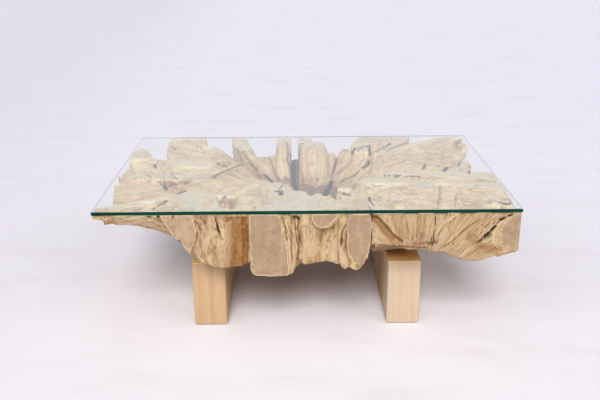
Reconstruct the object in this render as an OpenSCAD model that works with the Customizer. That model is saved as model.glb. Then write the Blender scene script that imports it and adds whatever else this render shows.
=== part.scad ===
// Teak root coffee table: a flat-sawn root base of fitted root sections on two
// block legs, under a clear glass top. Millimetres, +Z up, right end at +X.
// Origin: centre of the footprint, on the floor.

/* [Overall] */
// Height of the glass top face above the floor
table_height = 420; // [380:5:480]
// Length of the glass sheet
glass_length = 1200; // [1000:10:1500]
// Depth of the glass sheet
glass_depth = 800; // [700:10:1000]
// Thickness of the glass sheet
glass_thickness = 10; // [8:1:15]

/* [Glass] */
// Width of the ground flat chamfer on every glass edge
glass_chamfer = 1; // [0.5:0.1:2]
// Corner radius of the glass sheet in plan
glass_corner_r = 3; // [1:0.5:10]
// Diameter of the clear bumpers under the glass
bumper_d = 20; // [12:1:30]
// Thickness of the clear bumpers
bumper_t = 2; // [1.5:0.5:4]

/* [Legs] */
// Width of each leg along the table
leg_width = 100; // [80:1:120]
// Depth of each leg from front to back
leg_depth = 554; // [480:2:600]
// Distance between the two legs
leg_spread = 491; // [440:1:520]
// Height of the leg's flat top above the floor
leg_top = 210; // [190:1:230]
// Easing chamfer on the outer leg edges
leg_chamfer = 3; // [1:0.5:5]
// Thickness of the felt pad under each leg
pad_t = 3; // [2:0.5:5]
// Distance of the felt pad from the leg's sides
pad_inset = 5; // [3:1:10]

/* [Root] */
// Distance of the sawn root ends from the glass edge
root_inset = 3; // [2:1:15]
// Width of the glue line between neighbouring root sections
glue_line = 0.3; // [0.2:0.1:0.5]
// Width of the open slot behind the heart
slot_width = 25; // [15:1:30]
// Roughness of the root's outline as a share of the limb's size
gnarl = 0.05; // [0:0.01:0.08]

/* [Pegs] */
// Diameter of the pegs between the root sections and the heart
peg_d = 12; // [10:1:14]
// Length of the pegs between the root sections and the heart
peg_length = 64; // [50:2:70]
// Diameter of the dowels between the legs and the root
dowel_d = 16; // [12:1:20]
// Length of the dowels between the legs and the root
dowel_length = 80; // [60:2:90]
// Gap round every peg and dowel
peg_gap = 0.3; // [0.2:0.05:0.5]

/* [Hidden] */

glass_bottom = table_height - glass_thickness;
root_top = glass_bottom - bumper_t;
root_x = glass_length / 2 - root_inset;
root_y = glass_depth / 2 - root_inset;
leg_x = leg_spread / 2 + leg_width / 2;
leg_block = leg_depth / 4;
// Size of the root as it was drawn, before it is fitted to the sizes above
drawn_x = 597;
drawn_y = 397;
drawn_low = 210;
drawn_high = 408;
// Middle of the open slot between the two back fins
slot_x = -32.5;
// Points round a limb and steps between two of its stations
ring_n = 14;
steps = 3;
// Flats round a peg hole
hole_n = 16;

wood_pale = [0.86, 0.74, 0.56];
wood_gold = [0.74, 0.56, 0.34];
wood_leg = [0.90, 0.77, 0.58];
wood_peg = [0.80, 0.66, 0.46];
felt = [0.20, 0.19, 0.18];
clear = [0.75, 0.88, 0.84, 0.4];

// A drawn height, a drawn plan point and a drawn station fitted to the sizes above
function fit_z(z) = leg_top + (z - drawn_low) * (root_top - leg_top) / (drawn_high - drawn_low);
function fit_xy(p) = [p[0] * root_x / drawn_x, p[1] * root_y / drawn_y];
function fit_station(s) =
    [s[0] * root_x / drawn_x, s[1] * root_y / drawn_y,
     s[2] * (root_x / drawn_x + root_y / drawn_y) / 2, fit_z(s[3]), fit_z(s[4])];

// A smooth curve through the stations: a value between b and c, share t of the way
function smooth(a, b, c, d, t) =
    0.5 * ((2 * b) + (c - a) * t + (2 * a - 5 * b + 4 * c - d) * t * t
        + (3 * b - a - 3 * c + d) * t * t * t);
function along(s, i, t) =
    let (last = len(s) - 1)
    smooth(s[max(i - 1, 0)], s[i], s[min(i + 1, last)], s[min(i + 2, last)], t);
function all_stations(s, parts) =
    [for (i = [0:len(s) - 2], k = [0:parts - 1]) along(s, i, k / parts), s[len(s) - 1]];

function signed_pow(v, e) = (v < 0 ? -1 : 1) * pow(abs(v), e);
// Bumps that repeat nowhere round a limb, the same on every build
function bump(k, i, seed) =
    gnarl * (sin(k * 77 + seed * 53 + i * 19) + 0.6 * sin(k * 151 + i * 67 + seed * 31));

// One ring of a limb: an upright rounded outline square to the limb's way in plan,
// narrower at the foot by the share keel, squarer the smaller the number round is
function ring(list, i, keel, seed, round) =
    let (s = list[i], last = len(list) - 1,
         a = list[max(i - 1, 0)], b = list[min(i + 1, last)],
         way = [b[0] - a[0], b[1] - a[1]], side = [-way[1], way[0]] / norm(way),
         mid = (s[3] + s[4]) / 2, half = (s[3] - s[4]) / 2)
    [for (k = [0:ring_n - 1])
        let (t = 360 * (k + 0.5) / ring_n, grow = 1 + bump(k, i, seed),
             up = signed_pow(sin(t), round) * grow,
             out = signed_pow(cos(t), round) * s[2] / 2 * grow * (1 + keel * (up - 1) / 2))
        [s[0] + side[0] * out, s[1] + side[1] * out, mid + half * up]];

// The way from one ring to the next, as one rounded chunk of the limb
module chunk(ring_a, ring_b) {
    hull() polyhedron(points = concat(ring_a, ring_b),
        faces = concat([[for (k = [0:ring_n - 1]) k]],
            [[for (k = [0:ring_n - 1]) 2 * ring_n - 1 - k]],
            [for (k = [0:ring_n - 1]) let (n = (k + 1) % ring_n)
                [n, k, ring_n + k, ring_n + n]]));
}

// A limb of the root through its stations [x, y, width, top height, foot height],
// with the given number of parts between two of them
module limb(stations, keel = 0.25, seed = 1, round = 0.8, parts = steps) {
    list = all_stations([for (s = stations) fit_station(s)], parts);
    rings = [for (i = [0:len(list) - 1]) ring(list, i, keel, seed, round)];
    for (i = [0:len(rings) - 2]) chunk(rings[i], rings[i + 1]);
}

// Plan corners of the heart, where the seams between the sections start
heart = [[-130, -95], [-60, -150], [60, -190], [140, -140], [185, -40],
    [160, 70], [85, 140], [-20, 150], [-120, 120], [-160, 20]];
// The point of the heart's edge behind the fins at a plan position x
function back_edge(x) = heart[7]
    + (heart[8] - heart[7]) * (x - heart[7][0]) / (heart[8][0] - heart[7][0]);
// Plan position of the slot's two sides
slot_left = slot_x - slot_width / 2;
slot_right = slot_x + slot_width / 2;

// Pegs across the seams: the two plan points the seam runs between, the share of
// the way between them, and the height of the peg
seam_pegs = [[heart[0], heart[1], 0.5, 246], [heart[1], heart[2], 0.5, 248],
    [heart[2], heart[3], 0.6, 250], [heart[3], heart[4], 0.5, 246],
    [heart[4], heart[5], 0.5, 248], [heart[5], heart[6], 0.5, 246],
    [heart[6], heart[7], 0.45, 248], [heart[7], heart[8], 0.45, 246],
    [heart[7], heart[8], 0.86, 246], [heart[8], heart[9], 0.5, 246],
    [heart[9], heart[0], 0.5, 248], [[182, -drawn_y], heart[3], 0.5, 330],
    [[-163, -drawn_y], heart[1], 0.16, 322]];
// Places of the leg dowels: side of the table and distance from the middle line
dowel_spots = [[-1, -100], [-1, 22], [-1, 200], [1, -48], [1, 52], [1, 112]];

// Stands its children on a seam, with +Z along the peg and the seam at z = 0
module on_seam(spot) {
    a = fit_xy(spot[0]);
    b = fit_xy(spot[1]);
    way = b - a;
    translate([a[0] + way[0] * spot[2], a[1] + way[1] * spot[2], fit_z(spot[3])])
        rotate([0, 0, atan2(way[1], way[0])])
            rotate([90, 0, 0])
                children();
}

module on_dowel_spot(spot) {
    translate([spot[0] * leg_x, fit_xy([0, spot[1]])[1], leg_top])
        children();
}

// A fluteless beech peg with chamfered ends, middle at z = 0
module peg(d, length) {
    cham = d / 10;
    translate([0, 0, -length / 2]) {
        cylinder(d1 = d - 2 * cham, d2 = d, h = cham);
        translate([0, 0, cham])
            cylinder(d = d, h = length - 2 * cham);
        translate([0, 0, length - cham])
            cylinder(d1 = d, d2 = d - 2 * cham, h = cham);
    }
}

// The hole for a peg in faceted wood: its flats stay clear of the round peg
module drilled(d, length) {
    cylinder(d = (d + 2 * peg_gap) / cos(180 / hole_n), h = length + 2 * peg_gap,
        center = true, $fn = hole_n);
}

module peg_holes() {
    for (spot = seam_pegs)
        on_seam(spot) drilled(peg_d, peg_length);
}

module dowel_holes() {
    for (spot = dowel_spots)
        on_dowel_spot(spot) drilled(dowel_d, dowel_length);
}

module root_pegs() {
    color(wood_peg)
        for (spot = seam_pegs)
            on_seam(spot) peg(peg_d, peg_length);
}

module leg_dowels() {
    color(wood_peg)
        for (spot = dowel_spots)
            on_dowel_spot(spot) peg(dowel_d, dowel_length);
}

// Upright cutting block of one section: flat on the legs, sawn flat on top
module plot(outline) {
    translate([0, 0, leg_top])
        linear_extrude(root_top - leg_top)
            offset(delta = -glue_line / 2)
                polygon([for (p = outline) fit_xy(p)]);
}

// One root section: its limbs, cut to its plot and drilled for pegs and dowels
module section(tint, outline) {
    color(tint) difference() {
        intersection() {
            union() children();
            plot(outline);
        }
        peg_holes();
        dowel_holes();
    }
}

module front_left_root() {
    section(wood_gold, [[-163, -drawn_y], [-drawn_x, -drawn_y], [-drawn_x, -345], heart[0],
        heart[1]]) {
        // Long thin arm to the front left corner
        limb([[-90, -90, 150, 340, 212], [-190, -160, 190, 425, 200],
            [-300, -235, 190, 432, 205], [-400, -300, 150, 432, 306],
            [-500, -345, 120, 428, 378], [-560, -372, 84, 426, 384],
            [-612, -392, 60, 424, 399]], 0.35, 1);
        // Broken twig under its tip
        limb([[-530, -376, 34, 404, 386], [-560, -391, 22, 398, 378]], 0.2, 36);
        // Stub with the oval sawn end
        limb([[-200, -180, 150, 425, 215], [-285, -280, 130, 432, 240],
            [-335, -350, 100, 432, 288], [-342, -405, 94, 438, 298]], 0.75, 2, 0.75);
        // Golden knee beside it
        limb([[-120, -120, 150, 418, 212], [-190, -220, 170, 430, 215],
            [-225, -320, 180, 434, 234], [-226, -386, 176, 436, 244]], 0.25, 3, 0.55);
        // Shoulder between it and its right neighbour
        limb([[-92, -130, 70, 414, 230], [-118, -220, 74, 430, 232],
            [-152, -330, 60, 430, 246]], 0.2, 53, parts = 2);
        limb([[-180, -170, 150, 425, 208], [-250, -240, 150, 432, 212],
            [-285, -320, 120, 432, 252], [-292, -378, 96, 432, 268]], 0.35, 33, 0.7);
    }
}

module front_centre_root() {
    section(wood_pale, [[-163, -drawn_y], heart[1], heart[2], heart[3], [182, -drawn_y]]) {
        // Square limb with the big sawn face
        limb([[-50, -130, 120, 366, 214], [-75, -190, 118, 420, 214],
            [-98, -290, 112, 426, 218], [-106, -405, 114, 426, 221]], -0.1, 4, 0.3);
        // Folds beside it
        limb([[-14, -160, 90, 350, 216], [-26, -228, 90, 420, 222],
            [-38, -330, 70, 432, 226], [-46, -388, 56, 430, 236]], 0.2, 5);
        // Hollow front and the small root above it
        limb([[35, -150, 160, 300, 222], [38, -230, 160, 330, 238],
            [40, -300, 150, 390, 244], [40, -370, 144, 386, 251]], 0.1, 6, 0.6);
        limb([[30, -196, 90, 352, 262], [34, -250, 104, 420, 300], [44, -310, 96, 430, 340],
            [48, -405, 100, 446, 366]], 0.4, 7);
        // Rib beside it
        limb([[74, -150, 80, 310, 220], [94, -240, 66, 394, 234],
            [104, -320, 56, 418, 240], [109, -386, 50, 404, 241]], 0.2, 34, parts = 2);
        // Narrow limb with the long oval sawn end
        limb([[110, -130, 90, 340, 218], [126, -200, 88, 425, 228],
            [138, -300, 84, 434, 234], [145, -405, 82, 446, 235]], 0.3, 8, 0.7);
    }
}

module front_right_root() {
    section(wood_pale, [[182, -drawn_y], heart[3], [drawn_x, -225], [drawn_x, -drawn_y]]) {
        limb([[150, -170, 150, 420, 214], [205, -230, 170, 432, 246],
            [228, -320, 180, 434, 284], [236, -392, 186, 434, 309]], 0.1, 9, 0.5);
        limb([[220, -190, 140, 430, 216], [300, -240, 160, 434, 250],
            [330, -330, 150, 434, 284], [340, -392, 150, 434, 303]], 0.1, 10, 0.55, 2);
        limb([[230, -190, 130, 430, 216], [340, -240, 150, 434, 250],
            [400, -330, 140, 434, 272], [414, -393, 136, 434, 283]], 0.15, 35, 0.6, 2);
        limb([[240, -190, 130, 430, 216], [380, -245, 170, 434, 244],
            [475, -330, 160, 434, 254], [494, -393, 150, 434, 262]], 0.2, 11, 0.6);
        // Limb that ends in the sawn corner face
        limb([[260, -190, 120, 430, 216], [420, -240, 150, 434, 250],
            [530, -320, 140, 434, 270], [586, -412, 124, 440, 284]], 0.2, 12, 0.7);
        limb([[280, -190, 100, 430, 218], [420, -215, 110, 434, 262],
            [530, -250, 130, 434, 300], [612, -290, 150, 434, 316]], 0.25, 13);
    }
}

module right_root() {
    section(wood_pale, [heart[3], [drawn_x, -225], [drawn_x, 95], [500, 95], [440, 0],
        heart[4]]) {
        // Smooth band along the front of this section
        limb([[138, -96, 100, 356, 208], [178, -122, 112, 420, 205], [250, -136, 104, 424, 203],
            [330, -154, 100, 426, 212], [430, -168, 92, 428, 290],
            [612, -186, 80, 430, 352]], 0.3, 14);
        // Limb behind the dark slit
        limb([[160, -50, 104, 352, 208], [205, -38, 104, 416, 204], [280, -40, 100, 420, 205],
            [400, -50, 88, 424, 280], [500, -66, 76, 428, 340],
            [612, -84, 84, 428, 362]], 0.3, 15);
        // Short stub that stands clear of its neighbours
        limb([[390, -30, 60, 400, 300], [470, -14, 50, 410, 336],
            [522, 30, 42, 414, 350], [546, 82, 30, 408, 362]], 0.2, 16);
    }
}

module back_right_corner_root() {
    section(wood_pale, [heart[4], [440, 0], [500, 95], [drawn_x, 260], [drawn_x, drawn_y],
        [430, drawn_y], heart[5]]) {
        limb([[150, 10, 120, 315, 210], [270, 110, 150, 398, 200],
            [370, 210, 170, 425, 226], [480, 300, 140, 432, 296],
            [615, 412, 90, 432, 356]], 0.35, 17);
        limb([[165, 0, 110, 320, 210], [310, 60, 120, 412, 200],
            [430, 130, 130, 428, 282], [520, 230, 110, 430, 332],
            [585, 350, 60, 430, 366]], 0.3, 18);
    }
}

module back_right_root() {
    section(wood_pale, [heart[5], [430, drawn_y], [140, drawn_y], heart[6]]) {
        limb([[110, 80, 100, 308, 214], [140, 190, 90, 360, 225],
            [205, 290, 84, 422, 290], [250, 410, 92, 432, 326]], 0.3, 19);
        limb([[135, 80, 100, 308, 212], [225, 190, 90, 380, 214],
            [310, 290, 96, 426, 268], [355, 410, 110, 432, 312]], 0.3, 20);
        limb([[120, 90, 110, 300, 214], [190, 200, 120, 340, 220],
            [262, 290, 120, 384, 274], [304, 402, 110, 430, 316]], 0.3, 21);
        // Saddle to its left neighbour
        limb([[104, 120, 60, 306, 216], [130, 200, 64, 344, 230],
            [150, 300, 62, 386, 292], [158, 340, 46, 384, 306]], 0.25, 38, parts = 2);
    }
}

module back_centre_root() {
    section(wood_pale, [[slot_right, 147], [slot_right, drawn_y], [140, drawn_y], heart[6]]) {
        limb([[10, 100, 90, 300, 214], [6, 190, 80, 366, 226],
            [2, 290, 70, 424, 284], [0, 410, 72, 432, 322]], 0.2, 22);
        limb([[50, 90, 90, 300, 214], [56, 180, 80, 362, 226],
            [54, 270, 74, 424, 280], [50, 340, 56, 426, 316]], 0.25, 23);
        // Saddle to its right neighbour
        limb([[64, 110, 60, 300, 216], [84, 200, 60, 338, 230],
            [98, 300, 54, 372, 290], [104, 340, 40, 366, 306]], 0.25, 37, parts = 2);
    }
}

module back_centre_fin() {
    section(wood_pale, [back_edge(slot_left), [slot_left, drawn_y], [-150, drawn_y],
        back_edge(-85)]) {
        limb([[-62, 95, 84, 306, 214], [-70, 190, 74, 368, 226],
            [-72, 290, 66, 422, 284], [-72, 410, 62, 432, 322]], 0.25, 24);
        // Saddle to its left neighbour
        limb([[-70, 100, 56, 300, 216], [-92, 200, 52, 340, 230],
            [-110, 290, 48, 370, 290], [-114, 340, 36, 356, 304]], 0.2, 52, parts = 2);
    }
}

module back_left_fin() {
    section(wood_pale, [back_edge(-87), [-150, drawn_y], [-300, drawn_y], [-210, 200],
        heart[8]]) {
        limb([[-100, 80, 90, 314, 213], [-160, 170, 84, 374, 220],
            [-215, 270, 76, 424, 276], [-241, 410, 62, 432, 320]], 0.3, 25);
        // Saddle between the fins
        limb([[-90, 90, 90, 306, 213], [-126, 190, 96, 336, 224],
            [-142, 290, 98, 364, 282], [-144, 340, 76, 352, 300]], 0.3, 26, parts = 2);
    }
}

module back_left_root() {
    section(wood_pale, [heart[8], [-210, 200], [-300, drawn_y], [-drawn_x, drawn_y],
        [-520, 150], heart[9]]) {
        limb([[-130, 60, 120, 320, 211], [-240, 130, 150, 386, 196],
            [-345, 220, 170, 424, 214], [-410, 310, 150, 432, 282],
            [-416, 412, 140, 432, 322]], 0.35, 27);
        limb([[-240, 110, 130, 386, 196], [-360, 170, 130, 420, 215],
            [-450, 250, 90, 430, 288], [-466, 410, 70, 430, 330]], 0.3, 28);
        limb([[-220, 150, 110, 370, 200], [-290, 220, 90, 384, 230],
            [-320, 290, 70, 392, 290]], 0.3, 29);
    }
}

module left_root() {
    section(wood_pale, [heart[0], [-drawn_x, -345], [-drawn_x, drawn_y], [-520, 150],
        heart[9]]) {
        limb([[-130, 0, 130, 322, 211], [-260, 10, 160, 392, 196],
            [-380, 60, 150, 422, 214], [-490, 130, 140, 430, 306],
            [-615, 208, 150, 430, 352]], 0.35, 30);
        limb([[-150, -30, 120, 326, 210], [-280, -50, 150, 400, 196],
            [-400, -46, 130, 412, 232], [-500, -10, 140, 430, 310],
            [-612, 34, 180, 430, 350]], 0.35, 31);
        limb([[-170, -60, 110, 340, 208], [-290, -110, 130, 410, 196],
            [-390, -150, 110, 396, 262], [-490, -176, 140, 424, 324],
            [-582, -192, 150, 428, 360]], 0.3, 32);
        // Webs between the arms
        limb([[-330, -90, 110, 396, 214], [-430, -100, 110, 392, 280],
            [-540, -96, 90, 386, 346]], 0.3, 39, parts = 2);
        limb([[-330, 20, 90, 398, 214], [-430, 54, 100, 396, 270],
            [-540, 108, 90, 392, 340]], 0.3, 51, parts = 2);
    }
}

// Low bowl in the middle that the sections stand round, with a tongue that floors
// the slot between the two back fins
module root_heart() {
    color(wood_gold) difference() {
        intersection() {
            union() {
                for (i = [0:4]) {
                    p = heart[i] * 1.15;
                    q = heart[i + 5] * 1.15;
                    limb([[p[0], p[1], 130, 322, 213], [18 + 3 * i, 4 - 5 * i, 112, 288 + i, 216],
                        [q[0], q[1], 130, 320, 213]], 0.15, 40 + i, parts = 2);
                }
                // Broad low floor that ties them together
                limb([[-210, -20, 380, 264, 214], [15, -20, 430, 260, 214],
                    [230, -20, 380, 264, 214]], 0, 54, 0.3, 1);
                limb([[slot_x, 60, 70, 300, 216], [slot_x, 190, 70, 316, 226],
                    [slot_x, 345, 70, 346, 300]], 0.1, 45, parts = 2);
            }
            plot([heart[0], heart[1], heart[2], heart[3], heart[4], heart[5], heart[6],
                [slot_right, 147], [slot_right, 338], [slot_left, 338],
                back_edge(slot_left), heart[8], heart[9]]);
        }
        peg_holes();
    }
}

// The clear glass sheet with ground edges
module glass_top() {
    color(clear) translate([0, 0, glass_bottom]) hull() {
        for (x = [-1, 1], y = [-1, 1])
            translate([x * (glass_length / 2 - glass_corner_r),
                y * (glass_depth / 2 - glass_corner_r), 0]) {
                cylinder(r = glass_corner_r - glass_chamfer, h = glass_thickness, $fn = 24);
                translate([0, 0, glass_chamfer])
                    cylinder(r = glass_corner_r, h = glass_thickness - 2 * glass_chamfer,
                        $fn = 24);
            }
    }
}

// Clear discs between the sawn root and the glass
bumper_spots = [[-430, -312], [-104, -330], [262, -320], [540, -320], [520, -184],
    [496, 316], [330, 370], [2, 366], [-425, 350], [-540, 172]];

module glass_bumpers() {
    color(clear)
        for (p = bumper_spots)
            translate([fit_xy(p)[0], fit_xy(p)[1], root_top])
                cylinder(d = bumper_d, h = bumper_t);
}

// A rectangle with its corners cut off by the leg chamfer, centred
module eased(w, h) {
    c = leg_chamfer;
    polygon([[w / 2 - c, -h / 2], [w / 2, -h / 2 + c], [w / 2, h / 2 - c],
        [w / 2 - c, h / 2], [c - w / 2, h / 2], [-w / 2, h / 2 - c],
        [-w / 2, c - h / 2], [c - w / 2, -h / 2]]);
}

// A whole leg: upright corners and foot edges eased, top left square for the root
module leg() {
    h = leg_top - pad_t;
    translate([0, 0, pad_t]) intersection() {
        linear_extrude(h) eased(leg_width, leg_depth);
        translate([0, leg_depth / 2, h / 2 + leg_chamfer])
            rotate([90, 0, 0])
                linear_extrude(leg_depth) eased(leg_width, h + 2 * leg_chamfer);
    }
}

// One of the four upright-grain blocks a leg is glued up from, 0 at the front
module leg_part(side, i) {
    color(wood_leg) difference() {
        translate([side * leg_x, 0, 0]) intersection() {
            leg();
            translate([-leg_width, -leg_depth / 2 + i * leg_block, 0])
                cube([2 * leg_width, leg_block, leg_top]);
        }
        for (spot = dowel_spots)
            on_dowel_spot(spot)
                cylinder(d = dowel_d + 2 * peg_gap, h = dowel_length + 2 * peg_gap,
                    center = true);
    }
}

module left_leg_front_block() { leg_part(-1, 0); }
module left_leg_second_block() { leg_part(-1, 1); }
module left_leg_third_block() { leg_part(-1, 2); }
module left_leg_back_block() { leg_part(-1, 3); }
module right_leg_front_block() { leg_part(1, 0); }
module right_leg_second_block() { leg_part(1, 1); }
module right_leg_third_block() { leg_part(1, 2); }
module right_leg_back_block() { leg_part(1, 3); }

// A felt strip under a leg
module foot_pad(side) {
    color(felt) translate([side * leg_x, 0, 0])
        linear_extrude(pad_t)
            offset(delta = -pad_inset)
                square([leg_width, leg_depth], center = true);
}

module left_foot_pad() { foot_pad(-1); }
module right_foot_pad() { foot_pad(1); }

glass_top();
glass_bumpers();
root_heart();
front_left_root();
front_centre_root();
front_right_root();
right_root();
back_right_corner_root();
back_right_root();
back_centre_root();
back_centre_fin();
back_left_fin();
back_left_root();
left_root();
root_pegs();
leg_dowels();
left_leg_front_block();
left_leg_second_block();
left_leg_third_block();
left_leg_back_block();
right_leg_front_block();
right_leg_second_block();
right_leg_third_block();
right_leg_back_block();
left_foot_pad();
right_foot_pad();
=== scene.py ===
"""Teak root coffee table: the looks of its wood, legs and glass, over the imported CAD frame."""

import logging
import math
from collections.abc import Callable, Iterator
from contextlib import contextmanager
from dataclasses import dataclass, field
from enum import Enum
from typing import Any

import bmesh
import bpy
import numpy as np
from mathutils import Matrix, Vector
from mathutils.kdtree import KDTree


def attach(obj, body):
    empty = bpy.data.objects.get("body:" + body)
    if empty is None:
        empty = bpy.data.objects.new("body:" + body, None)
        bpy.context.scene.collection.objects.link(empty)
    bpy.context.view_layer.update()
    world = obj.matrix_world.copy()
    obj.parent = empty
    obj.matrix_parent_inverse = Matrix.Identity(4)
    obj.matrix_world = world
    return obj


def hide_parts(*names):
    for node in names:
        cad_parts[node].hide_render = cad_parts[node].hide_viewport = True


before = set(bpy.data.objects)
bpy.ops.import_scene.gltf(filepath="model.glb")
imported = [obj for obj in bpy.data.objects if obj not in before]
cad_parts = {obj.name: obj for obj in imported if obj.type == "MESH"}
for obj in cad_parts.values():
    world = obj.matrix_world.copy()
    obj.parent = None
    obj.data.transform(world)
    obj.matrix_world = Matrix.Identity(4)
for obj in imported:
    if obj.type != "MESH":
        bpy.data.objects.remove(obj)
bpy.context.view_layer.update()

log = logging.getLogger("teak_root_table")
# A millimetre in metres, and a metre in millimetres.
MM = 0.001
METRE = 1000.0
BODY = "base"
Point = tuple[float, float]
Pair = tuple[float, float]
Point3 = tuple[float, float, float]
Colour = tuple[float, float, float, float]


def rgb(red: int, green: int, blue: int) -> Colour:
    """Turns a colour as it looks on screen into the linear colour that shaders use.

    Args:
        red: how red it is, from 0 to 255.
        green: how green.
        blue: how blue.

    Returns:
        The linear colour.
    """
    linear = []
    for part in (red, green, blue):
        c = part / 255.0
        linear.append(c / 12.92 if c <= 0.04045 else ((c + 0.055) / 1.055) ** 2.4)
    return (*linear, 1.0)


class Tone(Enum):
    """The kinds of root wood on the base, as the names of their slots."""

    PALE = "pale_root"
    GOLDEN = "golden_root"
    HEART = "heartwood"


class StainAndPaintedLight(Enum):
    """What a stroke paints, as the name of the value stored on the wood: stains, painted shade and
    painted highlights.
    """

    # near-black: painted shade in cracks, holes and the cave, and some dark marks
    CRACK = "crack"
    # brown streaks in the wood, and painted shade in folds and recesses
    BROWN = "brown"
    GOLD = "gold"
    # painted highlights along ridges, rims and edges, and on lit slopes
    LIGHT = "light"


class Face(Enum):
    """The side that a stroke is placed on."""

    FRONT = "front"
    TOP = "top"


class Graph:
    """Short names for the shader nodes that the finishes are built from."""

    def __init__(self, tree: bpy.types.NodeTree) -> None:
        """Keeps the node tree to build in."""
        self.tree = tree

    def add(self, kind: str, **settings: Any) -> bpy.types.Node:
        """Adds one node.

        Args:
            kind: the node's type name.
            settings: attributes to set on it.

        Returns:
            The new node.
        """
        node = self.tree.nodes.new(kind)
        for key, value in settings.items():
            setattr(node, key, value)
        return node

    def feed(self, node: bpy.types.Node, values: dict[int | str, Any]) -> bpy.types.Node:
        """Links sockets to a node's inputs, or sets constants on them.

        Args:
            node: the node.
            values: an output socket or a constant for each input, by its name or number.

        Returns:
            The node.
        """
        for key, value in values.items():
            if isinstance(value, bpy.types.NodeSocket):
                self.tree.links.new(value, node.inputs[key])
            else:
                node.inputs[key].default_value = value
        return node

    def math(self, operation: str, a: Any, b: Any = 0.0, clamp: bool = False) -> Any:
        """Adds a Math node and returns its output."""
        node = self.add("ShaderNodeMath", operation=operation, use_clamp=clamp)
        return self.feed(node, {0: a, 1: b}).outputs[0]

    def times(self, a: Any, b: Any, clamp: bool = False) -> Any:
        """Multiplies two values."""
        return self.math("MULTIPLY", a, b, clamp)

    def plus(self, a: Any, b: Any) -> Any:
        """Adds two values."""
        return self.math("ADD", a, b)

    def minus(self, a: Any, b: Any) -> Any:
        """Takes the second value off the first."""
        return self.math("SUBTRACT", a, b)

    def vector(self, operation: str, a: Any, b: Any) -> Any:
        """Adds a Vector Math node that works on two vectors, and returns its output."""
        node = self.add("ShaderNodeVectorMath", operation=operation)
        return self.feed(node, {0: a, 1: b}).outputs["Vector"]

    def scaled(self, a: Any, factor: Any) -> Any:
        """Multiplies a vector by one value."""
        node = self.add("ShaderNodeVectorMath", operation="SCALE")
        return self.feed(node, {0: a, "Scale": factor}).outputs["Vector"]

    def axis(self, vector: Any, name: str) -> Any:
        """Returns one part of a vector, by its letter."""
        return self.feed(self.add("ShaderNodeSeparateXYZ"), {0: vector}).outputs[name]

    def place(self) -> Any:
        """Returns the Object coordinates."""
        return self.add("ShaderNodeTexCoord").outputs["Object"]

    def attribute(self, name: str) -> Any:
        """Reads a value stored on the piece's own vertices."""
        return self.add("ShaderNodeAttribute", attribute_name=name).outputs["Fac"]

    def noise(self, vector: Any, scale: float, detail: float = 3.0, rough: float = 0.55,
              w: Any = None) -> Any:
        """Adds a Noise Texture and returns its value.

        Args:
            vector: the coordinates.
            scale: how fine the noise is.
            detail: octaves.
            rough: share of the finer octaves.
            w: a fourth coordinate, if any.

        Returns:
            The value output.
        """
        fourth = {} if w is None else {"W": w}
        node = self.add("ShaderNodeTexNoise", noise_dimensions="4D" if fourth else "3D")
        return self.feed(node, {"Vector": vector, "Scale": scale, "Detail": detail,
                                "Roughness": rough, **fourth}).outputs["Fac"]

    def ramp(self, value: Any, low: float, high: float) -> Any:
        """Spreads a value between two limits to 0..1, clamped and eased."""
        node = self.add("ShaderNodeMapRange", interpolation_type="SMOOTHSTEP", clamp=True)
        self.feed(node, {"Value": value, "From Min": low, "From Max": high})
        return node.outputs["Result"]

    def between(self, share: Any, low: Any, high: Any) -> Any:
        """Blends two values: low where the share is 0, high where it is 1."""
        return self.plus(low, self.times(share, self.minus(high, low)))

    def mix(self, share: Any, a: Any, b: Any, blend: str = "MIX") -> Any:
        """Mixes two colours: the first where the share is 0, the second where it is 1."""
        node = self.add("ShaderNodeMix", data_type="RGBA", blend_type=blend, clamp_factor=True)
        return self.feed(node, {"Factor": share, 6: a, 7: b}).outputs[2]

    def layers(self, colour: Any, *coats: tuple[Any, float, Any]) -> Any:
        """Lays coats of paint over a colour, one after the other.

        Args:
            colour: the lowest colour.
            coats: for each coat, its mask, how much of the mask it uses, and its colour.

        Returns:
            The colour output.
        """
        for mask, share, paint in coats:
            colour = self.mix(self.times(mask, share), colour, paint)
        return colour

    def surface(self, out: bpy.types.Node, share: Any, first: bpy.types.Node,
                second: bpy.types.Node) -> None:
        """Feeds an output node with a mix of two shaders.

        Args:
            out: the output node.
            share: 0 for the first shader and 1 for the second.
            first: the node of the first shader.
            second: the node of the second one.
        """
        node = self.feed(self.add("ShaderNodeMixShader"),
                         {0: share, 1: first.outputs[0], 2: second.outputs[0]})
        self.feed(out, {"Surface": node.outputs["Shader"]})


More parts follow.
